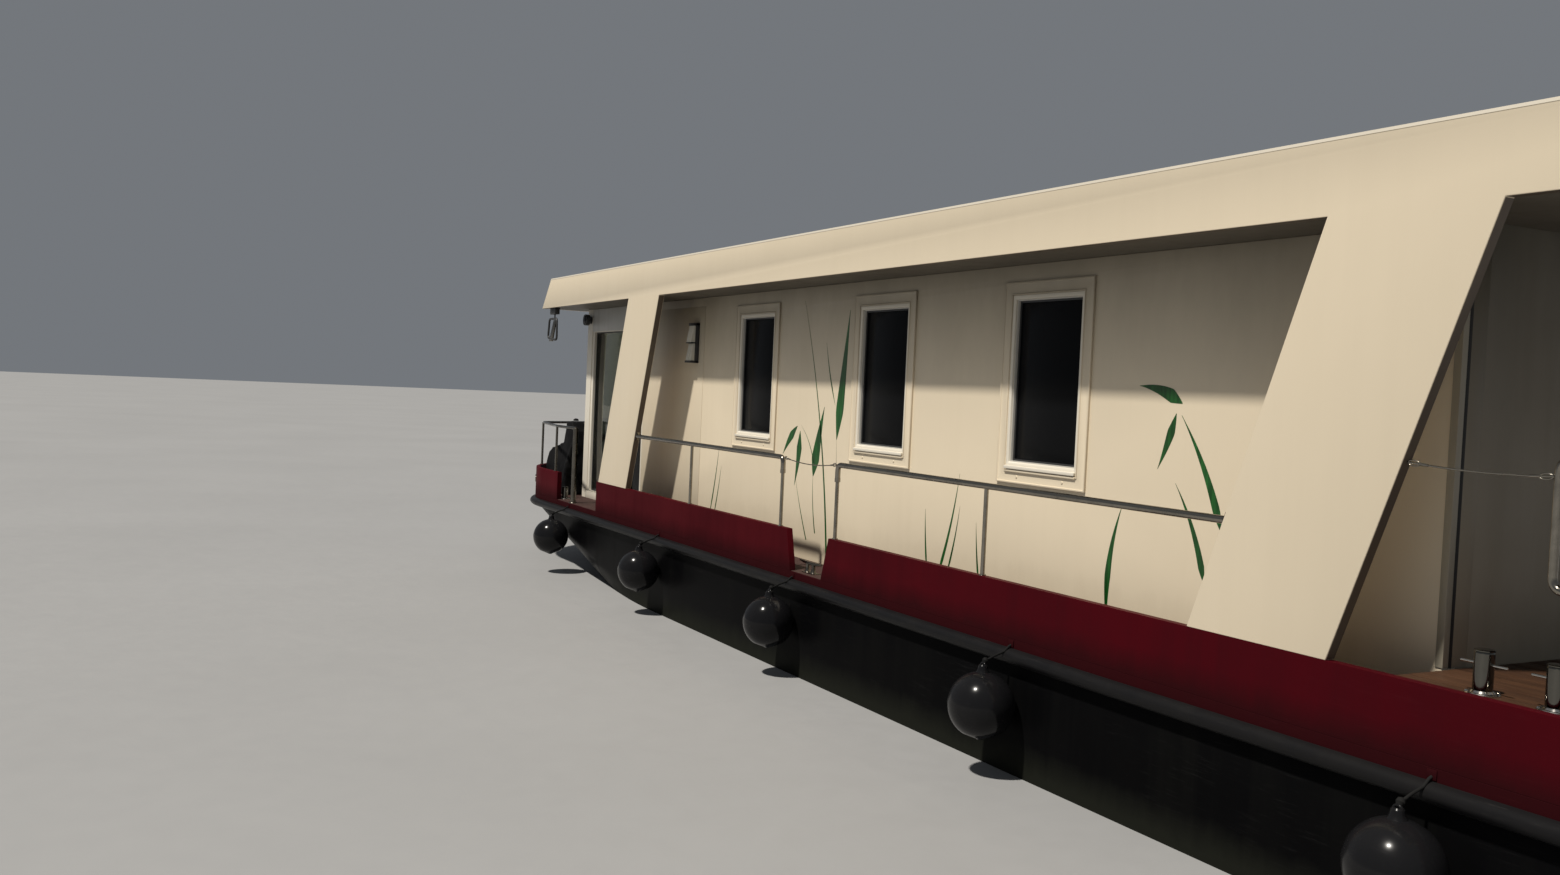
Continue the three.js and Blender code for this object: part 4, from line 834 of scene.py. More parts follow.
class HOUSEBOAT_OT_hull(bpy.types.Operator):
    """Build the black hull with its skeg, engine well and main deck"""
    bl_idname = "houseboat.hull"
    bl_label = "Hull and main deck"

    def execute(self, context):
        steps, stern_rise = settings("hull").bow_steps, 0.2041
        rings = [plan_outline(stern=max(STERN_X, -4.3 - line["z"] / stern_rise), steps=steps, **line)
                 for line in HULL_LINES]
        hull = rounded(cut_by(loft("hull_shell", rings), engine_well()), 0.004)
        skeg = prism("skeg", [(-3.9, 0.0), (-3.9, 0.08), (-6.64, 0.60), (-6.64, 0.04), (-7.16, 0.04), (-7.16, 0.0)],
                     -0.03, 0.03)
        stern_tube = turned("stern_tube", [(0.0225, 0), (0.044, 0), (0.052, 0.012), (0.052, 0.7), (0, 0.7)],
                            (-6.64, 0, SHAFT_Z), AHEAD)
        heel = turned("heel", [(0.0167, 0.012), (0.0167, 0.05), (0.044, 0.05), (0.048, 0.045), (0.048, 0), (0, 0)],
                      (RUDDER_X, 0, 0))
        chines = [rounded(prism("chine", [(-3.5, 0.085), (-3.5, 0.115), (1.9, 0.115), (1.9, 0.085)],
                                side * 2.17, side * 2.214), 0.006) for _, side in SIDES]
        placed(joined("hull_shell", [hull, rounded(skeg, 0.008), stern_tube, heel] + chines), "hull_paint", "hull")

        low, bevel = HULL_TOP + 0.0004, 0.0015
        edge = [(low, 0.004), (low + 0.004, 0.0), (DECK_TOP - bevel, 0.0), (DECK_TOP, bevel)]
        deck = loft("deck_plate", [deck_outline(z, inset) for z, inset in edge])
        placed(smoothed(cut_by(deck, engine_well())), "burgundy_paint", "main_deck")

        cover = loft("deck_covering", [deck_outline(DECK_TOP + 0.0004, 0.012), deck_outline(DECK_TOP + 0.003, 0.014)])
        cut_by(cover, block("under_cabin", (CABIN_AFT, -WALL_OUT, 1.2), (CABIN_FRONT, WALL_OUT, 1.5)),
               block("under_terrace", (STERN_X - 0.1, -2.3, 1.2), (-5.575, 2.3, 1.5)))
        placed(smoothed(cover), "deck_sand")
        softened("terrace_platform", "stern_platform", "burgundy_paint", 0.003)
        return {"FINISHED"}


class HOUSEBOAT_OT_bulwarks(bpy.types.Operator):
    """Build the burgundy bulwarks and the rings of the mooring holes"""
    bl_idname = "houseboat.bulwarks"
    bl_label = "Bulwarks"

    def execute(self, context):
        for side, _ in SIDES:
            for part in ("aft", "front"):
                node = f"bulwark_{part}_{side}"
                softened("side_" + node, node, "burgundy_paint", 0.0015)
        low, high, thick, bevel = DECK_TOP + 0.0005, BULWARK_TOP, 0.05, 0.006
        wall = [(low, 0.0), (high - bevel, 0.0), (high - bevel * 0.3, bevel * 0.3), (high, bevel),
                (high, thick - bevel), (high - bevel * 0.3, thick - bevel * 0.3), (high - bevel, thick), (low, thick)]
        bow = loft("bow_wall", [deck_outline(z, inset) for z, inset in wall])
        pick(bow, lambda face: abs(face.normal.z) > 0.99 and face.calc_area() > 5)
        bpy.ops.mesh.bridge_edge_loops()
        bisected(cleaned(bow), (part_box("bow_bulwark")[0].x, 0, 0), AHEAD)
        hole_x, hole_z, half_long, half_high = 6.42, 1.5, 0.062, 0.038
        for _, side in SIDES:
            hole = [(hole_x + u, hole_z + v) for u, v in oval(24, half_long, half_high)]
            cut_by(bow, prism("hole", hole, side * 1.8, side * 2.3))
        placed(smoothed(bow), "burgundy_paint", "bow_bulwark")

        centre_x, centre_y, inboard = BOW_X - BOW_RADIUS, HALF_BEAM - BOW_RADIUS, 0.046
        turn = math.asin((hole_x - centre_x) / BOW_RADIUS)
        for name, side in SIDES:
            outer = []
            for u, v in oval(28, half_long, half_high):
                lift = math.asin((hole_x + u - centre_x) / BOW_RADIUS)
                outer.append((hole_x + u, side * (centre_y + BOW_RADIUS * math.cos(lift)), hole_z + v))
            inner = [(x - inboard * math.sin(turn), y - side * inboard * math.cos(turn), z) for x, y, z in outer]
            placed(joined("mooring_ring_" + name, [ring("rim", line, 0.009) for line in (outer, inner)]), "stainless")
        return {"FINISHED"}


class HOUSEBOAT_OT_rub_rail(bpy.types.Operator):
    """Build the half-round rub rail on each side of the hull"""
    bl_idname = "houseboat.rub_rail"
    bl_label = "Rub rail"

    def execute(self, context):
        proud, high, middle = settings("hull").rail_proud, 0.045, 1.235
        rings = [deck_outline(middle - high, -0.0004)]
        for i in range(11):
            angle = -math.pi / 2 + i / 10 * math.pi
            rings.append(deck_outline(middle + high * math.sin(angle), -0.0008 - proud * math.cos(angle)))
        whole = loft("rub_rail_whole", rings)
        cut_by(whole, loft("inside", [deck_outline(middle - 0.1, -0.0004), deck_outline(middle + 0.1, -0.0004)]))
        for name, side in SIDES:
            half = bisected(copied(whole, "rub_rail_half_" + name), (0, side * 0.0003, 0), (0, side, 0))
            placed(smoothed(half), "rail_rubber", "rub_rail_" + name)
        drop(whole)
        return {"FINISHED"}


class HOUSEBOAT_OT_fenders(bpy.types.Operator):
    """Hang five ball fenders on each side, each from a short rope"""
    bl_idname = "houseboat.fenders"
    bl_label = "Fenders"

    def execute(self, context):
        radius = settings("hull").fender_radius
        x, y, z = 4.91, HALF_BEAM + radius + 0.002, 0.960
        count, spacing, wall, top = 5, 2.69, HALF_BEAM, z + radius
        profile = [(0, -radius - 0.004), (0.018, -radius - 0.004), (0.024, -radius + 0.001)]
        for i in range(1, 22):
            angle = -math.pi / 2 + (0.16 + i / 22 * 0.80) * math.pi
            seam = 0.0016 if i == 10 else 0.0
            profile.append(((radius + seam) * math.cos(angle), radius * math.sin(angle)))
        profile += [(across, radius + up) for across, up in (
            (0.040, -0.004), (0.034, 0.006), (0.030, 0.016), (0.027, 0.034), (0.021, 0.041), (0.009, 0.041),
            (0.009, 0.020), (0, 0.018))]
        eye = ring("eye", [(x + u, y, top + 0.030 + v) for u, v in oval(16, 0.020)], 0.007)
        body = joined("fender", [turned("ball", profile, (x, y, z), steps=40), eye])
        knot = turned("knot", [(0, -0.020), (0.014, -0.014), (0.019, 0.0), (0.014, 0.014), (0, 0.020)],
                      (x, y - 0.014, top + 0.062), (0, -0.5, 1), 16)
        line = tube("line", [(x, y, top + 0.040), (x, y - 0.014, top + 0.060), (x, y - 0.075, top + 0.085),
                             (x, wall + 0.052, 1.262), (x, wall + 0.020, 1.290), (x, wall - 0.001, 1.300)],
                    0.007, 0.02, sides=3)
        lashing = joined("lashing", [line, knot])
        pad = slab("pad", (x - 0.022, wall + 0.0003, 1.285), (x + 0.022, wall + 0.006, 1.327), 0.002)
        for i in range(count):
            shift = (-spacing * i, 0, 0)
            both_sides(body, f"fender_{i + 1}_", "fender_vinyl", shift=shift)
            both_sides(lashing, f"fender_line_{i + 1}_", "rope", shift=shift)
            both_sides(pad, f"fender_pad_{i + 1}_", "burgundy_paint", shift=shift)
        drop(body, lashing, pad)
        return {"FINISHED"}


class HOUSEBOAT_OT_terrace(bpy.types.Operator):
    """Lay the terrace in planks, with the hatch cut from the same planks"""
    bl_idname = "houseboat.terrace"
    bl_label = "Terrace and engine hatch"

    def execute(self, context):
        made = settings("hull")
        low, high, gap = TERRACE_TOP - 0.026, TERRACE_TOP, made.plank_gap
        aft, front, half = STERN_X + 0.0508, -5.5754, HALF_BEAM - 0.0508
        hatch_aft, hatch_front, hatch_half, hatch_gap = -6.715, -5.635, 0.475, 0.005

        def hatch(shape, inset, bottom, top):
            """A block of the hatch's outline, drawn in by the inset."""
            return block(shape, (hatch_aft + inset, -hatch_half + inset, bottom),
                         (hatch_front - inset, hatch_half - inset, top))

        count = round(2 * half / made.plank_width)
        width = 2 * half / count
        plank = slab("plank", (aft, -half + gap / 2, low), (front, -half + width - gap / 2, high), 0.0025)
        applied(plank, "ARRAY", count=count, use_relative_offset=False, use_constant_offset=True,
                constant_offset_displace=(0, width, 0))
        lid = copied(plank, "hatch_planks")
        cut_by(plank, hatch("opening", -hatch_gap, 1.5, 1.8))
        cut_by(lid, hatch("keep", 0.012, 1.5, 1.8), operation="INTERSECT")
        placed(smoothed(plank), "teak_planks", "terrace_deck")
        placed(smoothed(lid), "teak_planks", "engine_hatch", "engine_hatch")
        bed = block("caulk_bed", (aft, -half, low - 0.0014), (front, half, high - 0.004))
        placed(cut_by(bed, hatch("opening", -hatch_gap, 1.5, 1.8)), "caulking")
        rim = opened("hatch_rim", (hatch_aft, -hatch_half, low - 0.002), (hatch_front, hatch_half, high - 0.0004), 2,
                     (hatch_aft + 0.010, -hatch_half + 0.010, 0), (hatch_front - 0.010, hatch_half - 0.010, 0))
        placed(hatch("tray", 0.008, low - 0.002, high - 0.005), "caulking", body="engine_hatch")
        placed(rounded(rim, 0.0015), "dark_steel", body="engine_hatch")

        pull_x = -6.58
        plate = turned("pull_plate", [(0, 0), (0.052, 0), (0.052, 0.002), (0.049, 0.004), (0.040, 0.004),
                                      (0.037, 0.001), (0, 0.001)], (pull_x, 0, high), steps=28)
        handle = ring("pull_ring", [(pull_x + u, v, high + 0.005) for u, v in oval(20, 0.030)], 0.004)
        placed(joined("hatch_pull", [plate, handle]), "stainless", body="engine_hatch")
        x, z = hatch_front + hatch_gap, high + 0.008
        for number, y in enumerate((-0.33, 0.33), 1):
            leaf = slab("leaf", (x - 0.07, y - 0.02, high + 0.0002), (x - 0.004, y + 0.02, high + 0.005), 0.0015)
            knuckle = rod("knuckle", (x, y - 0.02, z), (x, y + 0.02, z), 0.0076, 0.001, 16)
            placed(joined(f"hatch_hinge_{number}", [leaf, knuckle]), "stainless", body="engine_hatch")
            parts = [rod("pin", (x, y + way * 0.0206, z), (x, y + way * 0.034, z), 0.005, 0.0008, 16)
                     for way in (-1, 1)]
            for end in (y - 0.028, y + 0.028):
                parts.append(rod("eye", (x, end - 0.005, z), (x, end + 0.005, z), 0.0074, 0.001, 16))
                parts.append(slab("foot", (x + 0.001, end - 0.005, high + 0.0002),
                                  (x + 0.034, end + 0.005, high + 0.010), 0.001))
            placed(joined(f"hatch_lugs_{number}", parts), "stainless")
        return {"FINISHED"}


def propeller_blade(root, tip):
    """A twisted blade, lofted outwards from sections across it."""
    sections = []
    for i in range(13):
        t = i / 12
        chord = 0.030 + 0.125 * math.sin(math.pi * min(1.0, 0.12 + 0.85 * t)) * (1 - 0.55 * t ** 4)
        pitch = math.radians(66 - 44 * t)
        thick = 0.011 - 0.008 * t
        sections.append([(along * math.sin(pitch) + across * math.cos(pitch),
                          along * math.cos(pitch) - across * math.sin(pitch), root + t * (tip - root))
                         for along, across in oval(16, chord / 2, thick / 2)])
    return smoothed(loft("blade", sections), math.radians(50))


def rudder_foil():
    """A streamlined blade, lofted upwards, that closes in at its ends."""
    sections = []
    for z, grow in ((0.060, 0.86), (0.066, 0.95), (0.080, 1.0), (0.485, 1.0), (0.499, 0.95), (0.505, 0.86)):
        section = []
        for cosine, sine in oval(24, 1.0):
            run = 0.5 + 0.5 * cosine
            x = RUDDER_X + 0.09 - 0.42 * (1 - run)
            thick = 0.024 * sine * (0.35 + 1.3 * run) * (1 - 0.35 * run ** 3)
            section.append((x if grow == 1 else -7.20 + (x + 7.20) * grow, thick * grow, z))
        sections.append(section)
    return smoothed(loft("rudder_blade", sections), math.radians(40))


class HOUSEBOAT_OT_running_gear(bpy.types.Operator):
    """Build the propeller, the rudder and the engine block"""
    bl_idname = "houseboat.running_gear"
    bl_label = "Running gear"

    def execute(self, context):
        hub_x = -6.8
        parts = [turned("hub", [(0, -0.070), (0.022, -0.062), (0.036, -0.040), (0.042, -0.025), (0.042, 0.045),
                                (0.034, 0.060), (0.0215, 0.060), (0.0215, 0.392), (0, 0.392)],
                        (hub_x, 0, SHAFT_Z), AHEAD)]
        blade = propeller_blade(0.030, 0.193)
        for i in range(4):
            parts.append(copied(blade, "blade_copy"))
            parts[-1].data.transform(Matrix.Translation((hub_x, 0, SHAFT_Z)) @ Matrix.Rotation(i * math.pi / 2, 4, "X"))
        drop(blade)
        placed(joined("propeller_cast", parts), "bronze", "propeller", "propeller")

        parts = [rudder_foil()]
        for name, low, high, radius, edge in (("stock", 0.40, 0.999, 0.03, 0.004), ("pin", 0.0165, 0.09, 0.016, 0.002),
                                              ("collar", 0.0506, 0.066, 0.024, 0.002)):
            parts.append(rod(name, (RUDDER_X, 0, low), (RUDDER_X, 0, high), radius, edge, 24))
        placed(joined("rudder_foil", parts), "hull_paint", "rudder", "rudder")

        low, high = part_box("engine")
        base = block("engine_base", low, (high.x, high.y, low.z + 0.34))
        pick(base, lambda face: abs(face.normal.y) > 0.9)
        bpy.ops.mesh.inset(thickness=0.035, depth=-0.02)
        rounded(cleaned(base), 0.012, 3)
        head = block("engine_head", (low.x + 0.10, low.y + 0.08, low.z + 0.335),
                     (high.x - 0.06, high.y - 0.08, high.z - 0.09))
        pick(head, lambda face: face.normal.z > 0.9)
        for rise in (0.05, 0.04):
            bpy.ops.mesh.inset(thickness=0.03, depth=0.0)
            bpy.ops.mesh.extrude_region_shrink_fatten(TRANSFORM_OT_shrink_fatten={"value": -rise})
        rounded(cleaned(head), 0.010, 3)
        bell = turned("flywheel_housing", [(0, -0.05), (0.19, -0.05), (0.215, -0.03), (0.215, 0.05), (0, 0.05)],
                      (low.x + 0.06, 0, low.z + 0.24), AHEAD)
        ribs = [slab("rib", (x, low.y + 0.06, low.z + 0.02), (x + 0.02, high.y - 0.06, low.z + 0.46), 0.004)
                for x in (-6.40, -6.22, -6.04)]
        placed(joined("engine_block", [base, head, bell] + ribs), "engine_paint", "engine")
        return {"FINISHED"}


# Cabin

class HOUSEBOAT_OT_cabin(bpy.types.Operator):
    """Build the cabin's walls, floor, corner trims and front frame"""
    bl_idname = "houseboat.cabin"
    bl_label = "Cabin shell"

    def execute(self, context):
        edge, foot, top = settings("cabin").edge, TERRACE_TOP, SOFFIT - 0.001
        aft, out, leg, skin = CABIN_AFT, WALL_OUT, 0.034, 0.0005
        for side, sign in SIDES:
            node = "side_wall_" + side
            softened("cabin_" + node, node, "cream_paint", edge)
            placed(slab("front_panel_" + side, (2.330, sign * (out + 0.0002), DECK_TOP + 0.004),
                        (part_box(node)[1].x, sign * (out + 0.0030), 3.500), 0.0012), "cream_paint")
            angle = [(aft - 0.004, out - leg), (aft - 0.004, out + 0.004), (aft + 0.032, out + 0.004),
                     (aft + 0.032, out + skin), (aft - skin, out + skin), (aft - skin, out - leg)]
            trim = prism("corner_trim_" + side, [(x, sign * y) for x, y in angle], foot + 0.004, top, "z")
            placed(rounded(trim, 0.0008), "shaded_trim")
            # The dark strip in the corner's joint is partly a seal and partly painted shadow of the gap between the
            # trim and the aft wall.
            placed(slab("corner_seal_" + side, (aft - 0.0030, sign * (out - 0.058), foot + 0.001),
                        (aft - 0.0003, sign * (out - leg - 0.0005), top), 0.0006), "caulking")
            placed(slab("corner_board_" + side, (aft - 0.0025, sign * 1.60, foot + 0.001),
                        (aft - 0.0003, sign * (out - 0.0585), top), 0.0006), "shaded_cream")
        softened("cabin_aft_wall", "aft_wall", "shaded_cream", edge)
        softened("saloon_floor", "cabin_floor", "laminate", 0.002)
        softened("front_posts", "front_frame", "white_plastic")
        return {"FINISHED"}


class HOUSEBOAT_OT_windows(bpy.types.Operator):
    """Build the six side windows: casing, sash, sill, screw caps and screened pane"""
    bl_idname = "houseboat.windows"
    bl_label = "Side windows"

    def execute(self, context):
        made = settings("cabin")
        x, out = WINDOW_X[0], WALL_OUT

        def corner(way, half, low, high):
            """Two corners of an upright frame: its half width and its lower and upper edge."""
            return (x - half, way[0], low), (x + half, way[1], high)

        casing = block("casing", *corner((out + 0.0003, out + 0.014), 0.425, 2.195, 3.476))
        pick(casing, lambda face: face.normal.y > 0.9)
        for thickness, depth in ((made.casing_lip, 0.0), (0.0015, -0.005), (made.casing_field, 0.0),
                                 (0.002, 0.006), (0.006, 0.0), (0.001, -0.009)):
            bpy.ops.mesh.inset(thickness=thickness, depth=depth)
        bpy.ops.object.mode_set(mode="OBJECT")
        cut_by(casing, block("opening", *corner((out - 0.05, out + 0.05), 0.339, 2.281, 3.390)))
        sash = opened("sash", *corner((out - 0.066, out + 0.008), 0.338, 2.282, 3.389), 1,
                      *corner((0, 0), 0.315, 2.330, 3.363))
        pick(sash, lambda side: abs(side.verts[0].co.y - side.verts[1].co.y) < 0.001 and all(
            abs(vertex.co.x - x) < 0.3155 and vertex.co.y > out for vertex in side.verts), "edges")
        bpy.ops.mesh.bevel(offset=0.012, segments=2, affect="EDGES")
        rounded(cleaned(sash), 0.0015)
        jamb = opened("jamb", *corner((out - 0.066, out - 0.0002), 0.354, 2.264, 3.409), 1,
                      *corner((0, 0), 0.339, 2.281, 3.390))
        sill = slab("sill", *corner((out + 0.006, out + 0.026), 0.337, 2.284, 2.306), 0.004, 3)
        drip = slab("drip", *corner((out + 0.010, out + 0.020), 0.34, 2.266, 2.280), 0.002)
        caps = [turned("cap", [(0, 0.004), (0.006, 0.004), (0.009, 0.002), (0.010, 0), (0, 0)],
                       (x + shift, out + 0.009, 2.236), OUTBOARD, 20) for shift in (-0.22, 0.22)]
        reveal = rounded(opened("reveal", *corner((out - 0.035, out - 0.008), 0.3148, 2.3302, 3.3628), 1,
                                *corner((0, 0), 0.309, 2.336, 3.357)), 0.001)
        pane = slab("pane", *corner((out - 0.036 - made.pane, out - 0.034), 0.3148, 2.3302, 3.3628), 0.001)
        bead = rounded(opened("screen_bead", *corner((out - 0.034, out - 0.026), 0.309, 2.336, 3.357), 1,
                              *corner((0, 0), 0.297, 2.348, 3.345)), 0.001)
        body = joined("window_body", [sash, jamb, sill])
        casing = joined("window_casing", [rounded(casing, 0.0012), drip] + caps)
        for number, place in enumerate(WINDOW_X, 1):
            node, shift = f"window_{number}_", (place - x, 0, 0)
            for item, label, finish, frame_node in (
                    (body, "body", "white_plastic", node), (casing, "casing", "casing_paint", node),
                    # the reveals' paler grey is painted light
                    (reveal, "reveal", "pale_grey_plastic", ""), (bead, "bead", "charcoal_plastic", ""),
                    (pane, "pane", "screened_glass", "")):
                both_sides(item, f"window_{label}_{number}_", finish, frame_node, shift=shift)
        drop(body, casing, reveal, pane, bead)
        return {"FINISHED"}


def glazed(name, low, high, axis, hole_low, hole_high, pane_at, node, body="boat", bead=0.014):
    """A white frame with a rubber bead and a clear pane in it."""
    thick = settings("cabin").pane

    def level(corner, place):
        """A corner of the hole, moved to a place along the axis."""
        return [place if i == axis else part for i, part in enumerate(corner)]

    placed(rounded(opened(name + "_leaf", low, high, axis, hole_low, hole_high), 0.003), "white_plastic", node, body)
    placed(slab(name + "_pane", level(hole_low, pane_at - thick / 2), level(hole_high, pane_at + thick / 2), 0.001),
           "clear_glass", body=body)
    rubber = opened(name + "_bead", [part + 0.0003 for part in level(hole_low, pane_at - thick)],
                    [part - 0.0003 for part in level(hole_high, pane_at + thick)], axis,
                    [part + bead for part in hole_low], [part - bead for part in hole_high])
    placed(rounded(rubber, 0.002), "charcoal_plastic", body=body)


def glazed_across(name, low, high, border, node, body="boat"):
    """A glazed frame that faces fore and aft, with the same border all round."""
    glazed(name, low, high, 0, (0, low.y + border, low.z + border), (0, high.y - border, high.z - border),
           (low.x + high.x) / 2, node, body)


class HOUSEBOAT_OT_glazing(bpy.types.Operator):
    """Build the side glazing, the glazed front, the sliding door and the aft door"""
    bl_idname = "houseboat.glazing"
    bl_label = "Glazing and doors"

    def execute(self, context):
        for side, sign in SIDES:
            node = "side_glazing_" + side
            low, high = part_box(node)
            glazed("side_light_" + side, low, high, 1, (low.x + 0.06, 0, 1.431), (high.x - 0.06, 0, 3.310),
                   sign * (WALL_OUT - 0.045), node)
            for name, out, bottom, top, edge, finish in (
                    ("side_header_", -0.002, 3.318, SOFFIT - 0.004, 0.002, "grey_plastic"),
                    ("side_sill_", 0.012, 1.338, 1.424, 0.004, "white_plastic")):
                placed(slab(name + side, (low.x + 0.002, sign * (WALL_OUT - 0.0095), bottom),
                            (high.x - 0.002, sign * (WALL_OUT + out), top), edge), finish)
        glazed_across("front_light", *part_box("front_glazing"), 0.06, "front_glazing")
        low, high = Vector((5.592, -1.56, 1.43)), Vector((5.632, -0.02, 3.33))
        glazed_across("front_door", low, high, 0.095, "sliding_door", "sliding_door")
        grip = slab("front_door_grip", (high.x - 0.001, -0.09, 2.35), (high.x + 0.014, -0.06, 2.65), 0.004)
        placed(grip, "stainless", body="sliding_door")
        shoes = [slab("shoe", (5.598, y - 0.06, 1.4246), (5.622, y + 0.06, 1.4305), 0.001) for y in (-1.36, -0.22)]
        placed(joined("front_door_shoes", shoes), "charcoal_plastic", body="sliding_door")

        low, high = Vector((-5.535, -0.05, 1.668)), Vector((-5.475, 0.854, 3.539))
        glazed_across("terrace_door", low, high, settings("cabin").door_frame, "aft_door", "aft_door")
        x, y, z = low.x, 0.029, 2.65
        lever = tube("lever", [(x - 0.002, y, z), (x - 0.045, y, z), (x - 0.045, 0.15, z)], 0.009, 0.016)
        rose = turned("rose", [(0, 0.008), (0.020, 0.008), (0.024, 0.004), (0.024, 0), (0, 0)], (x, y, z), (-1, 0, 0))
        placed(joined("terrace_door_handle", [lever, rose]), "stainless", body="aft_door")
        x, y, hinges = -5.456, 0.858, []
        for z in (1.85, 2.60, 3.35):
            hinges.append(rod("barrel", (x, y, z + 0.0006), (x, y, z + 0.046), 0.0098, 0.001, 20))
            hinges.append(slab("leaf", (-5.4755, 0.810, z + 0.001), (-5.4600, 0.852, z + 0.045), 0.001))
        placed(joined("terrace_door_hinges", hinges), "stainless", body="aft_door")
        return {"FINISHED"}


# Reeds on the cabin's sides: X and Z of the foot, then of the tip, bend to the bow, half width, and how far up
# a leaf is widest
REEDS = (
    (-0.20, 1.43, 0.33, 3.47, -0.075, 0.013, 0.0), (-0.32, 1.55, -0.28, 2.36, -0.010, 0.005, 0.0),
    (-0.285, 2.35, -0.41, 3.37, 0.0, 0.058, 0.22), (-0.24, 2.62, -0.06, 3.12, 0.015, 0.008, 0.3),
    (0.00, 1.57, 0.07, 2.06, 0.020, 0.007, 0.0), (0.07, 2.03, -0.07, 2.60, 0.010, 0.062, 0.24),
    (0.14, 1.50, 0.37, 2.00, 0.010, 0.007, 0.0), (0.32, 2.39, 0.385, 1.93, 0.018, 0.042, 0.30),
    (0.37, 2.43, 0.61, 2.18, -0.013, 0.036, 0.35), (0.07, 2.14, 0.31, 2.44, -0.030, 0.005, 0.0),
    (-1.63, 1.46, -1.57, 1.93, 0.010, 0.010, 0.3), (-1.74, 1.45, -1.96, 2.21, -0.025, 0.014, 0.2),
    (-1.84, 1.45, -1.98, 1.99, -0.015, 0.009, 0.3), (-2.24, 1.45, -2.17, 1.90, 0.010, 0.009, 0.3),
    (2.07, 1.45, 1.89, 2.18, -0.015, 0.010, 0.3), (1.97, 1.46, 1.83, 1.99, -0.010, 0.008, 0.3),
    (-3.46, 1.45, -3.54, 2.15, 0.045, 0.024, 0.40), (-3.96, 2.745, -3.63, 2.835, -0.022, 0.038, 0.25),
    (-3.92, 2.69, -3.80, 2.38, 0.008, 0.028, 0.32), (-4.28, 2.08, -3.96, 2.68, -0.028, 0.026, 0.16),
    (-4.18, 1.80, -3.94, 2.31, -0.028, 0.022, 0.14),
)


class HOUSEBOAT_OT_reeds(bpy.types.Operator):
    """Lay the reed leaves on the cabin's sides"""
    bl_idname = "houseboat.reeds"
    bl_label = "Reeds"

    def execute(self, context):
        steps, proud = 20, 0.0004
        leaves = []
        for foot_x, foot_z, tip_x, tip_z, bend, width, widest in REEDS:
            only()
            bpy.ops.mesh.primitive_grid_add(x_subdivisions=2, y_subdivisions=steps, size=1)
            leaf = named("leaf")
            run = Vector((tip_x - foot_x, 0, tip_z - foot_z))
            across = Vector((run.z, 0, -run.x)).normalized()
            for vertex in leaf.data.vertices:
                along, side = vertex.co.y + 0.5, vertex.co.x * 2
                middle = Vector((foot_x, WALL_OUT + proud, foot_z)) + run * along
                middle += across * bend * 4 * along * (1 - along)
                if along < widest:
                    swell = (along / widest) ** 0.8
                else:
                    swell = 1 - ((along - widest) / (1 - widest)) ** 1.2
                vertex.co = middle + across * side * width * max(swell, 0.04)
            leaves.append(applied(cleaned(leaf), "SOLIDIFY", thickness=0.0007, offset=0.0))
        whole = joined("reeds", leaves)
        whole.data.transform(Matrix.Translation((0, proud, 0)))
        both_sides(whole, "reeds_", "reed_vinyl")
        drop(whole)
        return {"FINISHED"}


# Roof

def edge_strips(name, node, thickness):
    """The strips on the under sides and slanted edges of a side frame."""
    strip = node_copy(name, node)
    pick(strip, lambda face: abs(face.normal.y) > 0.5 or face.normal.z > 0.5 or face.calc_center_median().z > 3.65)
    bpy.ops.mesh.delete(type="FACE")
    pick(strip, everything)
    bpy.ops.mesh.inset(thickness=0.0045, use_individual=True)
    bpy.ops.mesh.select_all(action="INVERT")
    bpy.ops.mesh.delete(type="FACE")
    bpy.ops.object.mode_set(mode="OBJECT")
    return smoothed(applied(strip, "SOLIDIFY", thickness=thickness, offset=1.0))


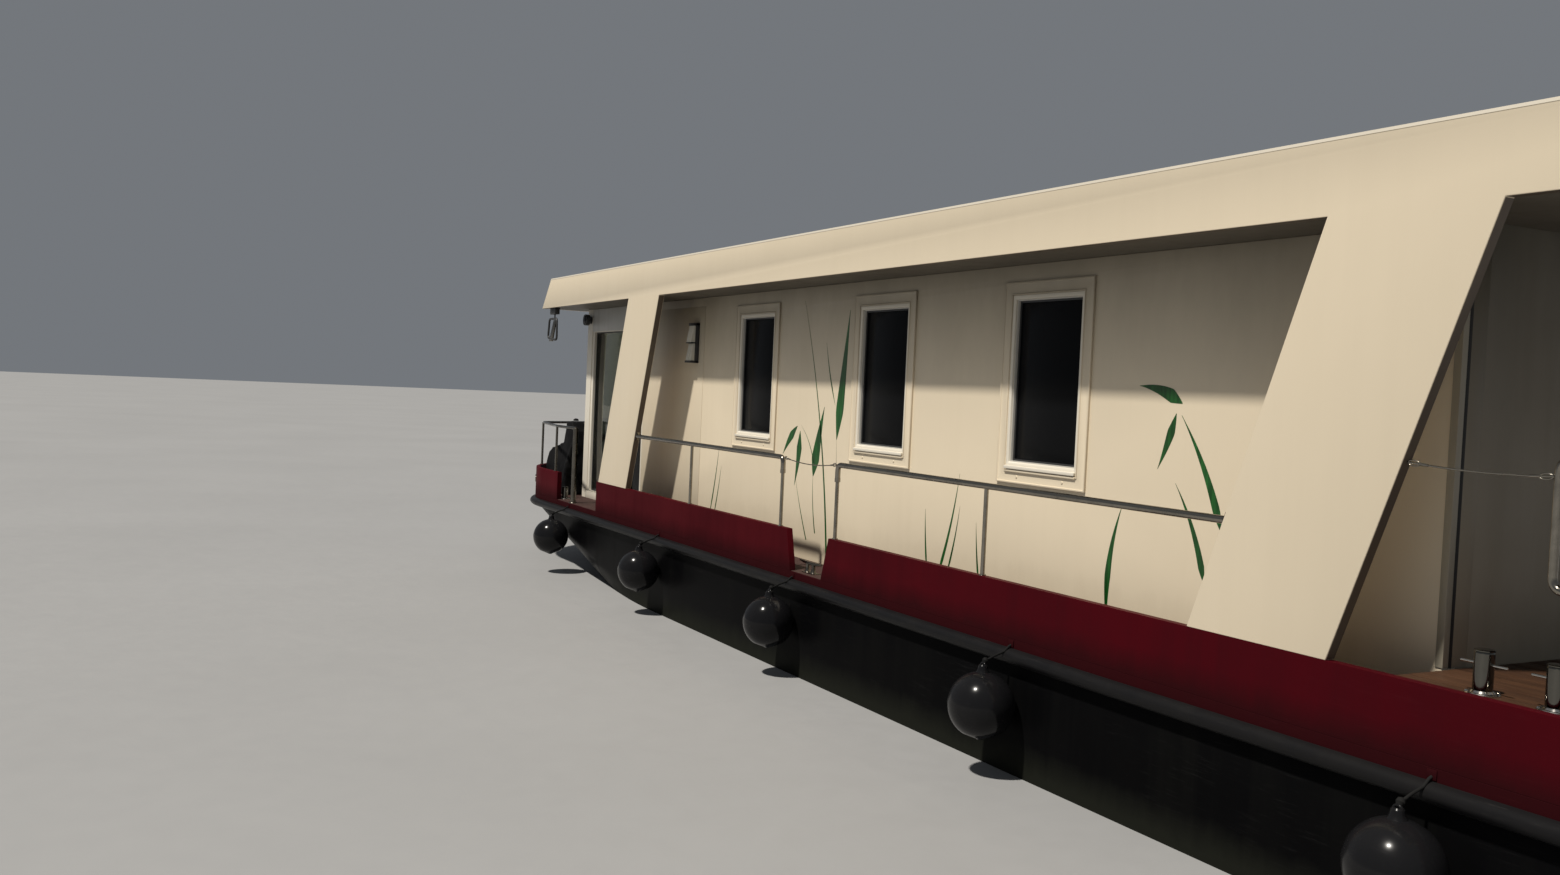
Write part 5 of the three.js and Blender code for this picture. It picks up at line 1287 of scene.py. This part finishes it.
class HOUSEBOAT_OT_roof(bpy.types.Operator):
    """Build the roof slab, its sheet, the fascias, the slanted side frames and the hooks under the eave"""
    bl_idname = "houseboat.roof"
    bl_label = "Roof and side frames"

    def execute(self, context):
        made = settings("cabin")
        # The roof slab takes the dark soffit colour, which is painted shade.
        softened("roof_slab", "roof", "soffit_panel", 0.002)
        # The fascias and side frames take the lighter cream copy, which is painted light.
        for node in ("front_fascia", "aft_fascia"):
            softened("roof_" + node, node, "cream_frame", made.edge)
        for side, sign in SIDES:
            node = "side_frame_" + side
            softened("roof_" + node, node, "cream_frame", made.edge)
            # The strips' dark brown is partly painted shade on the frames' edges.
            placed(edge_strips("edge_strip_" + side, node, made.strip), "brown_trim")
            low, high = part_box(node)
            out, inboard, top, gap, skin = HALF_BEAM, HALF_BEAM - 0.058, high.z, 0.0003, 0.0018
            angle = [(out + gap, top - 0.012), (out + skin, top - 0.012), (out + skin, top + skin),
                     (inboard, top + skin), (inboard, top + gap), (out + gap, top + gap)]
            trim = prism("roof_edge_trim_" + side, [(sign * y, z) for y, z in angle],
                         low.x + 0.006, high.x - 0.315, "x")
            placed(smoothed(trim), "trim_plastic")
        foot, top = ROOF_TOP + 0.0003, ROOF_TOP + 0.009
        sheet = prism("roof_sheet", [(-7.272, foot), (5.839, foot), (5.832, top), (-7.279, top)], -2.138, 2.138)
        placed(rounded(sheet, 0.002), "roof_sheet")
        for side, sign in SIDES:
            y = sign * 2.135
            mount = slab("hook_block", (5.790, y - 0.030, 3.508), (5.985, y + 0.030, 3.5836), 0.006)
            link = tube("hook_link", [(5.880, y, 3.510), (5.880, y, 3.455)], 0.008, sides=3)
            hoop = tube("hook_hoop", [(5.800, y, 3.458), (6.080, y, 3.458), (6.120, y, 3.230), (5.780, y, 3.200)],
                        0.013, 0.05, closed=True, sides=3)
            placed(joined("roof_hook_" + side, [mount, link, hoop]), "charcoal_plastic")
            leaf = prism("hook_leaf_" + side, [(5.815, 3.442), (5.905, 3.442), (6.060, 3.188), (5.935, 3.188)],
                         y - 0.008, y + 0.008)
            # The hook leaf's darker steel is painted shade.
            placed(rounded(leaf, 0.003), "dark_steel")
        return {"FINISHED"}


# Rails

def foot_plate(place, radius, height):
    """A round plate with a rounded rim on which a post stands."""
    return turned("foot", [(0, 0.0003), (radius, 0.0003), (radius, height * 0.6), (radius * 0.93, height),
                           (radius * 0.5, height), (0, height)], place, steps=28)


def post(x, y, foot, top, radius, plate=0.022):
    """A rail post on its foot plate."""
    return [rod("post", (x, y, foot + 0.002), (x, y, top), radius, 0.001), foot_plate((x, y, foot), plate, 0.008)]


def pillar_edge(top_x, z):
    """X of a pillar's slanted edge at a height."""
    return top_x + (BAND_LOW - z) * PILLAR_SLOPE


def handrail(y, top_x, way, middle, end, made):
    """A handrail from a flange on a pillar's slanted edge to its last post."""
    z, foot = RAIL_TOP, BULWARK_TOP
    edge = pillar_edge(top_x, z)
    near, far, lean = edge + way * 0.0008, edge + way * 0.008, 0.040 * PILLAR_SLOPE
    parts = [tube("run", [(edge + way * 0.009, y, z), (end, y, z), (end, y, z - 0.10)], made.rail_radius, 0.055),
             rod("sleeve", (end, y, z - 0.125), (end, y, z - 0.095), made.rail_radius + 0.0015, 0.002, 24)]
    parts += post(end, y, foot, z - 0.10, made.post_radius) + post(middle, y, foot, z, made.post_radius)
    flange = [(near + lean, z - 0.040), (far + lean, z - 0.040), (far - lean, z + 0.040), (near - lean, z + 0.040)]
    parts.append(rounded(prism("flange", flange, y - 0.020, y + 0.020), 0.0015))
    for rise in (-0.030, 0.030):
        parts.append(turned("screw", [(0, 0.004), (0.004, 0.004), (0.006, 0), (0, 0)],
                            (far - rise * PILLAR_SLOPE, y, z + rise), (way, 0, 0.3 * way), 14))
    return parts


def gate_wire(start, end, sag, radius):
    """A slightly slack wire with a hook and a ferrule at each end."""
    points = [start.lerp(end, t / 20) - Vector((0, 0, sag * 4 * (t / 20) * (1 - t / 20))) for t in range(21)]
    parts = [tube("wire", points, radius, sides=3)]
    for place, reach in ((start, points[2] - points[0]), (end, points[-3] - points[-1])):
        reach = reach.normalized()
        loop = [place + reach * (0.030 - u) + Vector(UP) * v for u, v in oval(16, 0.026, 0.011)]
        parts.append(ring("hook", loop, 0.0032))
        parts.append(rod("ferrule", place + reach * 0.052, place + reach * 0.090, 0.0062, 0.001, 14))
    return parts


class HOUSEBOAT_OT_rails(bpy.types.Operator):
    """Build the handrails, the bow rail, the stern rail and the gate wires"""
    bl_idname = "houseboat.rails"
    bl_label = "Rails"

    def execute(self, context):
        made = settings("fittings")
        for name, side in SIDES:
            for part, top_x, way, middle, end in (("front", FRONT_PILLAR_X, -1, 1.594, -0.177),
                                                  ("aft", REAR_PILLAR_X + PILLAR_WIDTH, 1, -2.811, -1.029)):
                node = f"handrail_{part}_{name}"
                rail = handrail(side * RAIL_Y, top_x, way, middle, end, made)
                placed(joined("rail_" + node, rail), "stainless", node)

        line, rail_z = [(4.915, 2.147), (5.530, 2.168), (6.700, 1.970), (7.405, 0.700)], 2.185
        path = [(x, y, rail_z) for x, y in line] + [(x, -y, rail_z) for x, y in reversed(line)]
        parts = [tube("bow_run", path, made.bow_rail_radius, 0.16)]
        for _, side in SIDES:
            x, y = line[0][0], side * line[0][1]
            parts.append(rod("thick_post", (x, y, DECK_TOP + 0.002), (x, y, rail_z + 0.006), 0.030, 0.006, 28))
            parts.append(foot_plate((x, y, DECK_TOP), 0.050, 0.010))
            for x, y in line[1:]:
                parts += post(x, side * y, BULWARK_TOP, rail_z, made.post_radius)
        # The bow rail's darker steel is painted shade.
        placed(joined("rail_bow", parts), "dark_steel", "bow_rail")

        top, low, front, aft, out, radius = 2.590, 2.098, -6.216, -7.330, 2.100, made.stern_rail_radius
        inner = out - 0.022
        loops = [[(front, side * out, low), (front, side * out, top), (aft, side * out, top), (aft, side * out, low)]
                 for _, side in SIDES]
        loops.append([(aft, -inner, low), (aft, -inner, top), (aft, inner, top), (aft, inner, low)])
        posts = [(x, side * out) for _, side in SIDES for x in (front - 0.26, aft + 0.16)]
        parts = [tube("loop", loop, radius, 0.05, closed=True) for loop in loops]
        for x, y in posts + [(aft, -1.2), (aft, 0.0), (aft, 1.2)]:
            parts += post(x, y, TERRACE_TOP, low, radius, 0.042)
        placed(joined("rail_stern", parts), "stainless", "stern_rail")

        eye_z = top - 0.05
        eye_x = pillar_edge(REAR_PILLAR_X, eye_z)
        wires = (("side", (-0.1975, RAIL_Y, RAIL_TOP), (-1.0085, RAIL_Y, RAIL_TOP), 0.028),
                 ("stern", (front + 0.018, out, top - 0.065), (eye_x - 0.002, HALF_BEAM - 0.03, eye_z), 0.012))
        for name, side in SIDES:
            for part, start, end, sag in wires:
                node = f"{part}_gate_wire_{name}"
                start, end = [Vector((x, side * y, z)) for x, y, z in (start, end)]
                placed(joined("gate_wire_" + node, gate_wire(start, end, sag, made.wire_radius)), "stainless", node)
        return {"FINISHED"}


# Fittings

def bollard(place, radius, height, flange, pin_z, pin_half):
    """A post with a domed cap, and its round flange, pin along the boat and bolts."""
    x, y, z = place
    body = turned("post", [(0, 0.0005), (radius, 0.0005), (radius, height - 0.016), (radius - 0.003, height - 0.010),
                           (radius + 0.001, height - 0.008), (radius + 0.001, height - 0.004),
                           (radius - 0.004, height - 0.001), (0, height)], place, steps=36)
    base = turned("flange", [(radius + 0.0004, 0.0004), (flange, 0.0004), (flange, 0.006), (flange - 0.004, 0.010),
                             (radius + 0.010, 0.010), (radius + 0.003, 0.018), (radius + 0.0004, 0.018)], place,
                  steps=40)
    long = 2 * pin_half
    pin = turned("pin", [(0, 0), (0.004, 0.0), (0.0065, 0.003), (0.0065, long - 0.003), (0.004, long), (0, long)],
                 (x - pin_half, y, z + pin_z), AHEAD, 16)
    reach = (radius + flange) / 2 + 0.006
    bolts = []
    for i in range(4):
        angle = math.pi / 4 + i * math.pi / 2
        bolts.append(turned("bolt", [(0, 0.006), (0.005, 0.006), (0.007, 0), (0, 0)],
                            (x + reach * math.cos(angle), y + reach * math.sin(angle), z + 0.0098), steps=6))
    return body, [base, pin] + bolts


class HOUSEBOAT_OT_fittings(bpy.types.Operator):
    """Build the bollards, cleats and lamps"""
    bl_idname = "houseboat.fittings"
    bl_label = "Deck fittings"

    def execute(self, context):
        radius = settings("fittings").bollard_radius
        pair = [bollard((x, 2.06, TERRACE_TOP), radius, 0.182, 0.066, 0.122, 0.100) for x in (-5.944, -6.236)]
        plate = block("plate", (-6.306, 2.0, TERRACE_TOP - 0.0277), (-5.874, 2.12, TERRACE_TOP - 0.0197))
        stern = joined("stern_posts", [body for body, _ in pair])
        stern_rest = joined("stern_rest", [plate] + pair[0][1] + pair[1][1])
        bow, rest = bollard((5.400, 2.085, DECK_TOP), 0.034, 0.150, 0.060, 0.100, 0.085)
        bow_rest = joined("bow_rest", rest)

        x, y, z = -0.580, 2.110, DECK_TOP
        base = slab("base", (x - 0.09, y - 0.03, z + 0.0034), (x + 0.09, y + 0.03, z + 0.010), 0.004)
        horn = ((0.165, 0.086, 0.55), (0.120, 0.082, 0.8), (0.060, 0.078, 1), (0, 0.077, 1.05))
        line = [(-reach, rise, thick) for reach, rise, thick in horn] + list(reversed(horn[:-1]))
        horns = tube("horns", [(x + reach, y, z + rise) for reach, rise, _ in line], 0.013,
                     thickness=[thick for _, _, thick in line])
        stems = [turned("stem", [(0, 0), (0.026, 0), (0.019, 0.012), (0.015, 0.034), (0.016, 0.066), (0, 0.066)],
                        (x + shift, y, z + 0.008), steps=20) for shift in (-0.045, 0.045)]
        cleat = joined("cleat", [base, horns] + stems)

        x, half, low, high, out = 2.51, 0.062, 2.951, 3.340, WALL_OUT
        middle = (low + high) / 2
        frames = [slab("back", (x - half, out + 0.0033, low), (x + half, out + 0.044, high), 0.003)]
        for z, depth, thick in ((low, 0.098, 0.020), (middle - 0.006, 0.092, 0.012), (high - 0.026, 0.070, 0.026)):
            frames.append(slab("shelf", (x - half, out + 0.0036, z), (x + half, out + depth, z + thick), 0.002))
        globes = []
        for bottom, top in ((low + 0.0203, middle - 0.0063), (middle + 0.0063, high - 0.0263)):
            outline = [(out + 0.0443, bottom), (out + 0.091, bottom), (out + 0.064, top), (out + 0.0443, top)]
            globes.append(rounded(prism("globe", outline, x - 0.056, x + 0.056, "x"), 0.004, 3))
        lamp_frame, lamp_glass = joined("lamp_frame", frames), joined("lamp_glass", globes)

        place = (5.636, WALL_OUT + 0.0003, 3.455)
        drum = turned("drum", [(0, 0), (0.044, 0), (0.044, 0.006), (0.042, 0.008), (0.014, 0.008), (0.014, 0.020),
                               (0.052, 0.022), (0.064, 0.032), (0.066, 0.048), (0.066, 0.078), (0.063, 0.085),
                               (0.056, 0.085), (0.054, 0.079), (0, 0.079)], place, OUTBOARD)
        lens = turned("lens", [(0, 0.0792), (0.0536, 0.0792), (0.050, 0.083), (0.028, 0.088), (0, 0.090)], place,
                      OUTBOARD)

        for item, label, finish, node, slot in (
                # The bollards' dark posts and bright pins and flanges are painted reflection and highlight; the darker
                # steel of the cleats is painted shade.
                (stern, "stern_bollards_post_", "dark_chrome", "stern_bollards_", None),
                (stern_rest, "stern_bollards_rest_", "bright_steel", "stern_bollards_", None),
                (bow, "bow_bollard_post_", "dark_chrome", "bow_bollard_", None),
                (bow_rest, "bow_bollard_rest_", "bright_steel", "bow_bollard_", None),
                (cleat, "horn_cleat_", "dark_steel", "side_cleat_", None),
                (lamp_frame, "wall_lamp_frame_", "charcoal_plastic", "wall_lamp_", None),
                (lamp_glass, "wall_lamp_glass_", "opal_glass", "", None),
                (drum, "deck_lamp_drum_", "charcoal_plastic", "deck_lamp_", None),
                (lens, "deck_lamp_lens_", "screened_glass", "", "lamp_glass")):
            both_sides(item, label, finish, node)
            drop(item)
        return {"FINISHED"}


class HOUSEBOAT_OT_helm(bpy.types.Operator):
    """Build the inside helm with its wheel"""
    bl_idname = "houseboat.helm"
    bl_label = "Helm"

    def execute(self, context):
        x, y, wheel_x, wheel_z, reach = 4.9, -1.05, 4.8, 2.34, 0.19
        parts = [rounded(node_copy("console", "helm_console"), 0.012, 3)]
        for start, end in ((-0.34, -0.02), (0.02, 0.34)):
            parts.append(slab("panel", (x - 0.003, y + start, 1.50), (x + 0.01, y + end, 1.98), 0.004))
        placed(joined("helm_body", parts), "white_plastic", "helm_console")
        dials = []
        for shift in (-0.24, 0.24):
            for back, size in ((0.08, 0.055), (0.20, 0.040)):
                profile = [(0, 0), (size, 0), (size, 0.010), (size - 0.008, 0.014), (size - 0.010, 0.008), (0, 0.008)]
                dials.append(turned("dial", profile, (x + back, y + shift, wheel_z + 0.1055 + 0.02 * back), steps=24))
        placed(joined("helm_dials", dials), "charcoal_plastic")

        parts = [ring("rim", [(wheel_x, y + u, wheel_z + v) for u, v in oval(48, reach)], 0.0135, 5),
                 turned("hub", [(0, -0.024), (0.020, -0.024), (0.034, -0.016), (0.038, -0.006), (0.038, 0.014),
                                (0.034, 0.018), (0.0138, 0.018), (0.0138, 0.109), (0, 0.109)],
                        (wheel_x, y, wheel_z), AHEAD)]
        for i in range(3):
            angle = math.pi / 2 + i / 3 * 2 * math.pi
            start, end = [(wheel_x, y + far * math.cos(angle), wheel_z + far * math.sin(angle))
                          for far in (0.030, reach - 0.004)]
            parts.append(rod("spoke", start, end, 0.0085, 0.001, 16))
        placed(joined("helm_wheel_rim", parts), "charcoal_plastic", "helm_wheel", "helm_wheel")
        return {"FINISHED"}


class HOUSEBOAT_OT_winch_cover(bpy.types.Operator):
    """Drape the black cloth cover over the winch at the port bow"""
    bl_idname = "houseboat.winch_cover"
    bl_label = "Winch cover"

    def execute(self, context):
        x, y, half, foot = 6.06, 1.76, 0.184, DECK_TOP + 0.0034
        outline = [(x - 0.186, foot), (x + 0.542, foot), (x + 0.590, foot + 0.33), (x + 0.482, foot + 0.495),
                   (x + 0.168, foot + 0.632), (x + 0.098, 2.222), (x - 0.098, 2.240), (x - 0.166, 2.116)]
        cover = prism("winch_cover", outline, y - half, y + half)
        pick(cover, everything)
        bpy.ops.mesh.subdivide(number_cuts=6)
        bpy.ops.object.mode_set(mode="OBJECT")
        for vertex in cover.data.vertices:
            tall = min(1.0, max(0.0, (vertex.co.z - foot - 0.36) / 0.22))
            near = min(1.0, max(0.0, (x + 0.36 - vertex.co.x) / 0.16))
            if vertex.co.y > y:
                vertex.co.y = y + (vertex.co.y - y) * (1 - 0.48 * tall * near)
        rounded(cover, 0.018, 3)
        applied(cover, "REMESH", mode="VOXEL", voxel_size=0.014)
        folds = bpy.data.textures.new("folds", "CLOUDS")
        folds.noise_scale = 0.16
        applied(cover, "DISPLACE", texture=folds, strength=0.022, mid_level=0.62, texture_coords="LOCAL")
        bpy.data.textures.remove(folds)
        applied(cover, "SMOOTH", factor=0.6, iterations=4)
        pick(cover, lambda face: face.normal.z < -0.8 and face.calc_center_median().z < foot + 0.03)
        bpy.ops.mesh.delete(type="FACE")
        bpy.ops.object.mode_set(mode="OBJECT")
        applied(cover, "SOLIDIFY", thickness=0.002, offset=-1.0)
        placed(smoothed(cover, math.radians(60)), "black_cloth", "covered_winch")
        knob = turned("winch_knob", [(0, 0), (0.030, 0), (0.034, 0.010), (0.026, 0.022), (0.014, 0.028), (0, 0.030)],
                      (x, y, 2.235), steps=24)
        placed(knob, "black_cloth")
        return {"FINISHED"}


# Stage

class HOUSEBOAT_OT_stage(bpy.types.Operator):
    """Set up the floor at the waterline, the light and the camera"""
    bl_idname = "houseboat.stage"
    bl_label = "Stage"

    def execute(self, context):
        made = settings("stage")
        water = settings("hull").waterline
        only()
        bpy.ops.mesh.primitive_plane_add(size=400, location=(0, 0, water))
        floor = named("floor")
        surface = bpy.data.materials.new("pale_floor")
        surface.use_nodes = True
        tree = surface.node_tree
        shader = tree.nodes["Principled BSDF"]
        place = tree.nodes.new("ShaderNodeTexCoord").outputs["Object"]
        shade = blended(tree, noise(tree, place, 0.25, 4.0), 0.35, 0.7, (0.31, 0.31, 0.31), (0.29, 0.29, 0.29))
        lay(tree, shader, shade, ranged(tree, noise(tree, place, 6.0), 0.3, 0.7, 0.55, 0.65))
        floor.data.materials.append(surface)

        only()
        bpy.ops.object.light_add(type="SUN", location=(0, 6, 12))
        sun = bpy.context.object
        sun.data.energy = made.sun
        sun.data.angle = math.radians(2.5)
        sun.data.color = (1.0, 0.95, 0.87)
        travel = Vector((0.15, -1.0, -1.84))
        sun.rotation_mode = "QUATERNION"
        sun.rotation_quaternion = travel.to_track_quat("-Z", "Y")

        world = bpy.data.worlds.new("soft_light")
        world.use_nodes = True
        shell = world.node_tree.nodes["Background"]
        shell.inputs["Color"].default_value = (0.86, 0.92, 1.0, 1)
        shell.inputs["Strength"].default_value = made.sky
        context.scene.world = world

        ahead = Vector((math.cos(made.yaw) * math.cos(made.pitch), -math.sin(made.yaw) * math.cos(made.pitch),
                        -math.sin(made.pitch)))
        level = Vector((-math.sin(made.yaw), -math.cos(made.yaw), 0))
        rise = level.cross(ahead)
        right = math.cos(made.roll) * level + math.sin(made.roll) * rise
        up = -math.sin(made.roll) * level + math.cos(made.roll) * rise
        view = bpy.data.cameras.new("camera")
        view.sensor_fit, view.sensor_width, view.lens = "HORIZONTAL", 36.0, made.lens
        view.clip_end = 500
        camera = bpy.data.objects.new("camera", view)
        context.collection.objects.link(camera)
        turn = Matrix((right, up, -ahead)).transposed().to_4x4()
        camera.matrix_world = Matrix.Translation(made.camera_place) @ turn
        context.scene.camera = camera
        context.scene.view_settings.view_transform = "Standard"
        return {"FINISHED"}


STEPS = (HOUSEBOAT_OT_stage, HOUSEBOAT_OT_finishes, HOUSEBOAT_OT_hull, HOUSEBOAT_OT_bulwarks, HOUSEBOAT_OT_rub_rail,
         HOUSEBOAT_OT_fenders, HOUSEBOAT_OT_terrace, HOUSEBOAT_OT_running_gear, HOUSEBOAT_OT_cabin,
         HOUSEBOAT_OT_windows, HOUSEBOAT_OT_glazing, HOUSEBOAT_OT_reeds, HOUSEBOAT_OT_roof, HOUSEBOAT_OT_rails,
         HOUSEBOAT_OT_fittings, HOUSEBOAT_OT_helm, HOUSEBOAT_OT_winch_cover)


class HOUSEBOAT_PT_panel(bpy.types.Panel):
    """Lists the settings and the steps of the houseboat"""
    bl_label = "Houseboat"
    bl_idname = "HOUSEBOAT_PT_panel"
    bl_space_type = "VIEW_3D"
    bl_region_type = "UI"
    bl_category = "Houseboat"

    def draw(self, context):
        for name, group in SETTINGS:
            box = self.layout.box()
            box.label(text=name.title())
            for label in group.__annotations__:
                box.prop(settings(name), label)
        for step in STEPS:
            self.layout.operator(step.bl_idname)


CLASSES = tuple(group for _, group in SETTINGS) + STEPS + (HOUSEBOAT_PT_panel,)


def register():
    for item in CLASSES:
        bpy.utils.register_class(item)
    for name, group in SETTINGS:
        setattr(bpy.types.Scene, "houseboat_" + name, PointerProperty(type=group))


def unregister():
    for name, _ in SETTINGS:
        delattr(bpy.types.Scene, "houseboat_" + name)
    for item in reversed(CLASSES):
        bpy.utils.unregister_class(item)


def main():
    register()
    for step in STEPS:
        family, name = step.bl_idname.split(".")
        getattr(getattr(bpy.ops, family), name)()


if __name__ == "__main__":
    main()
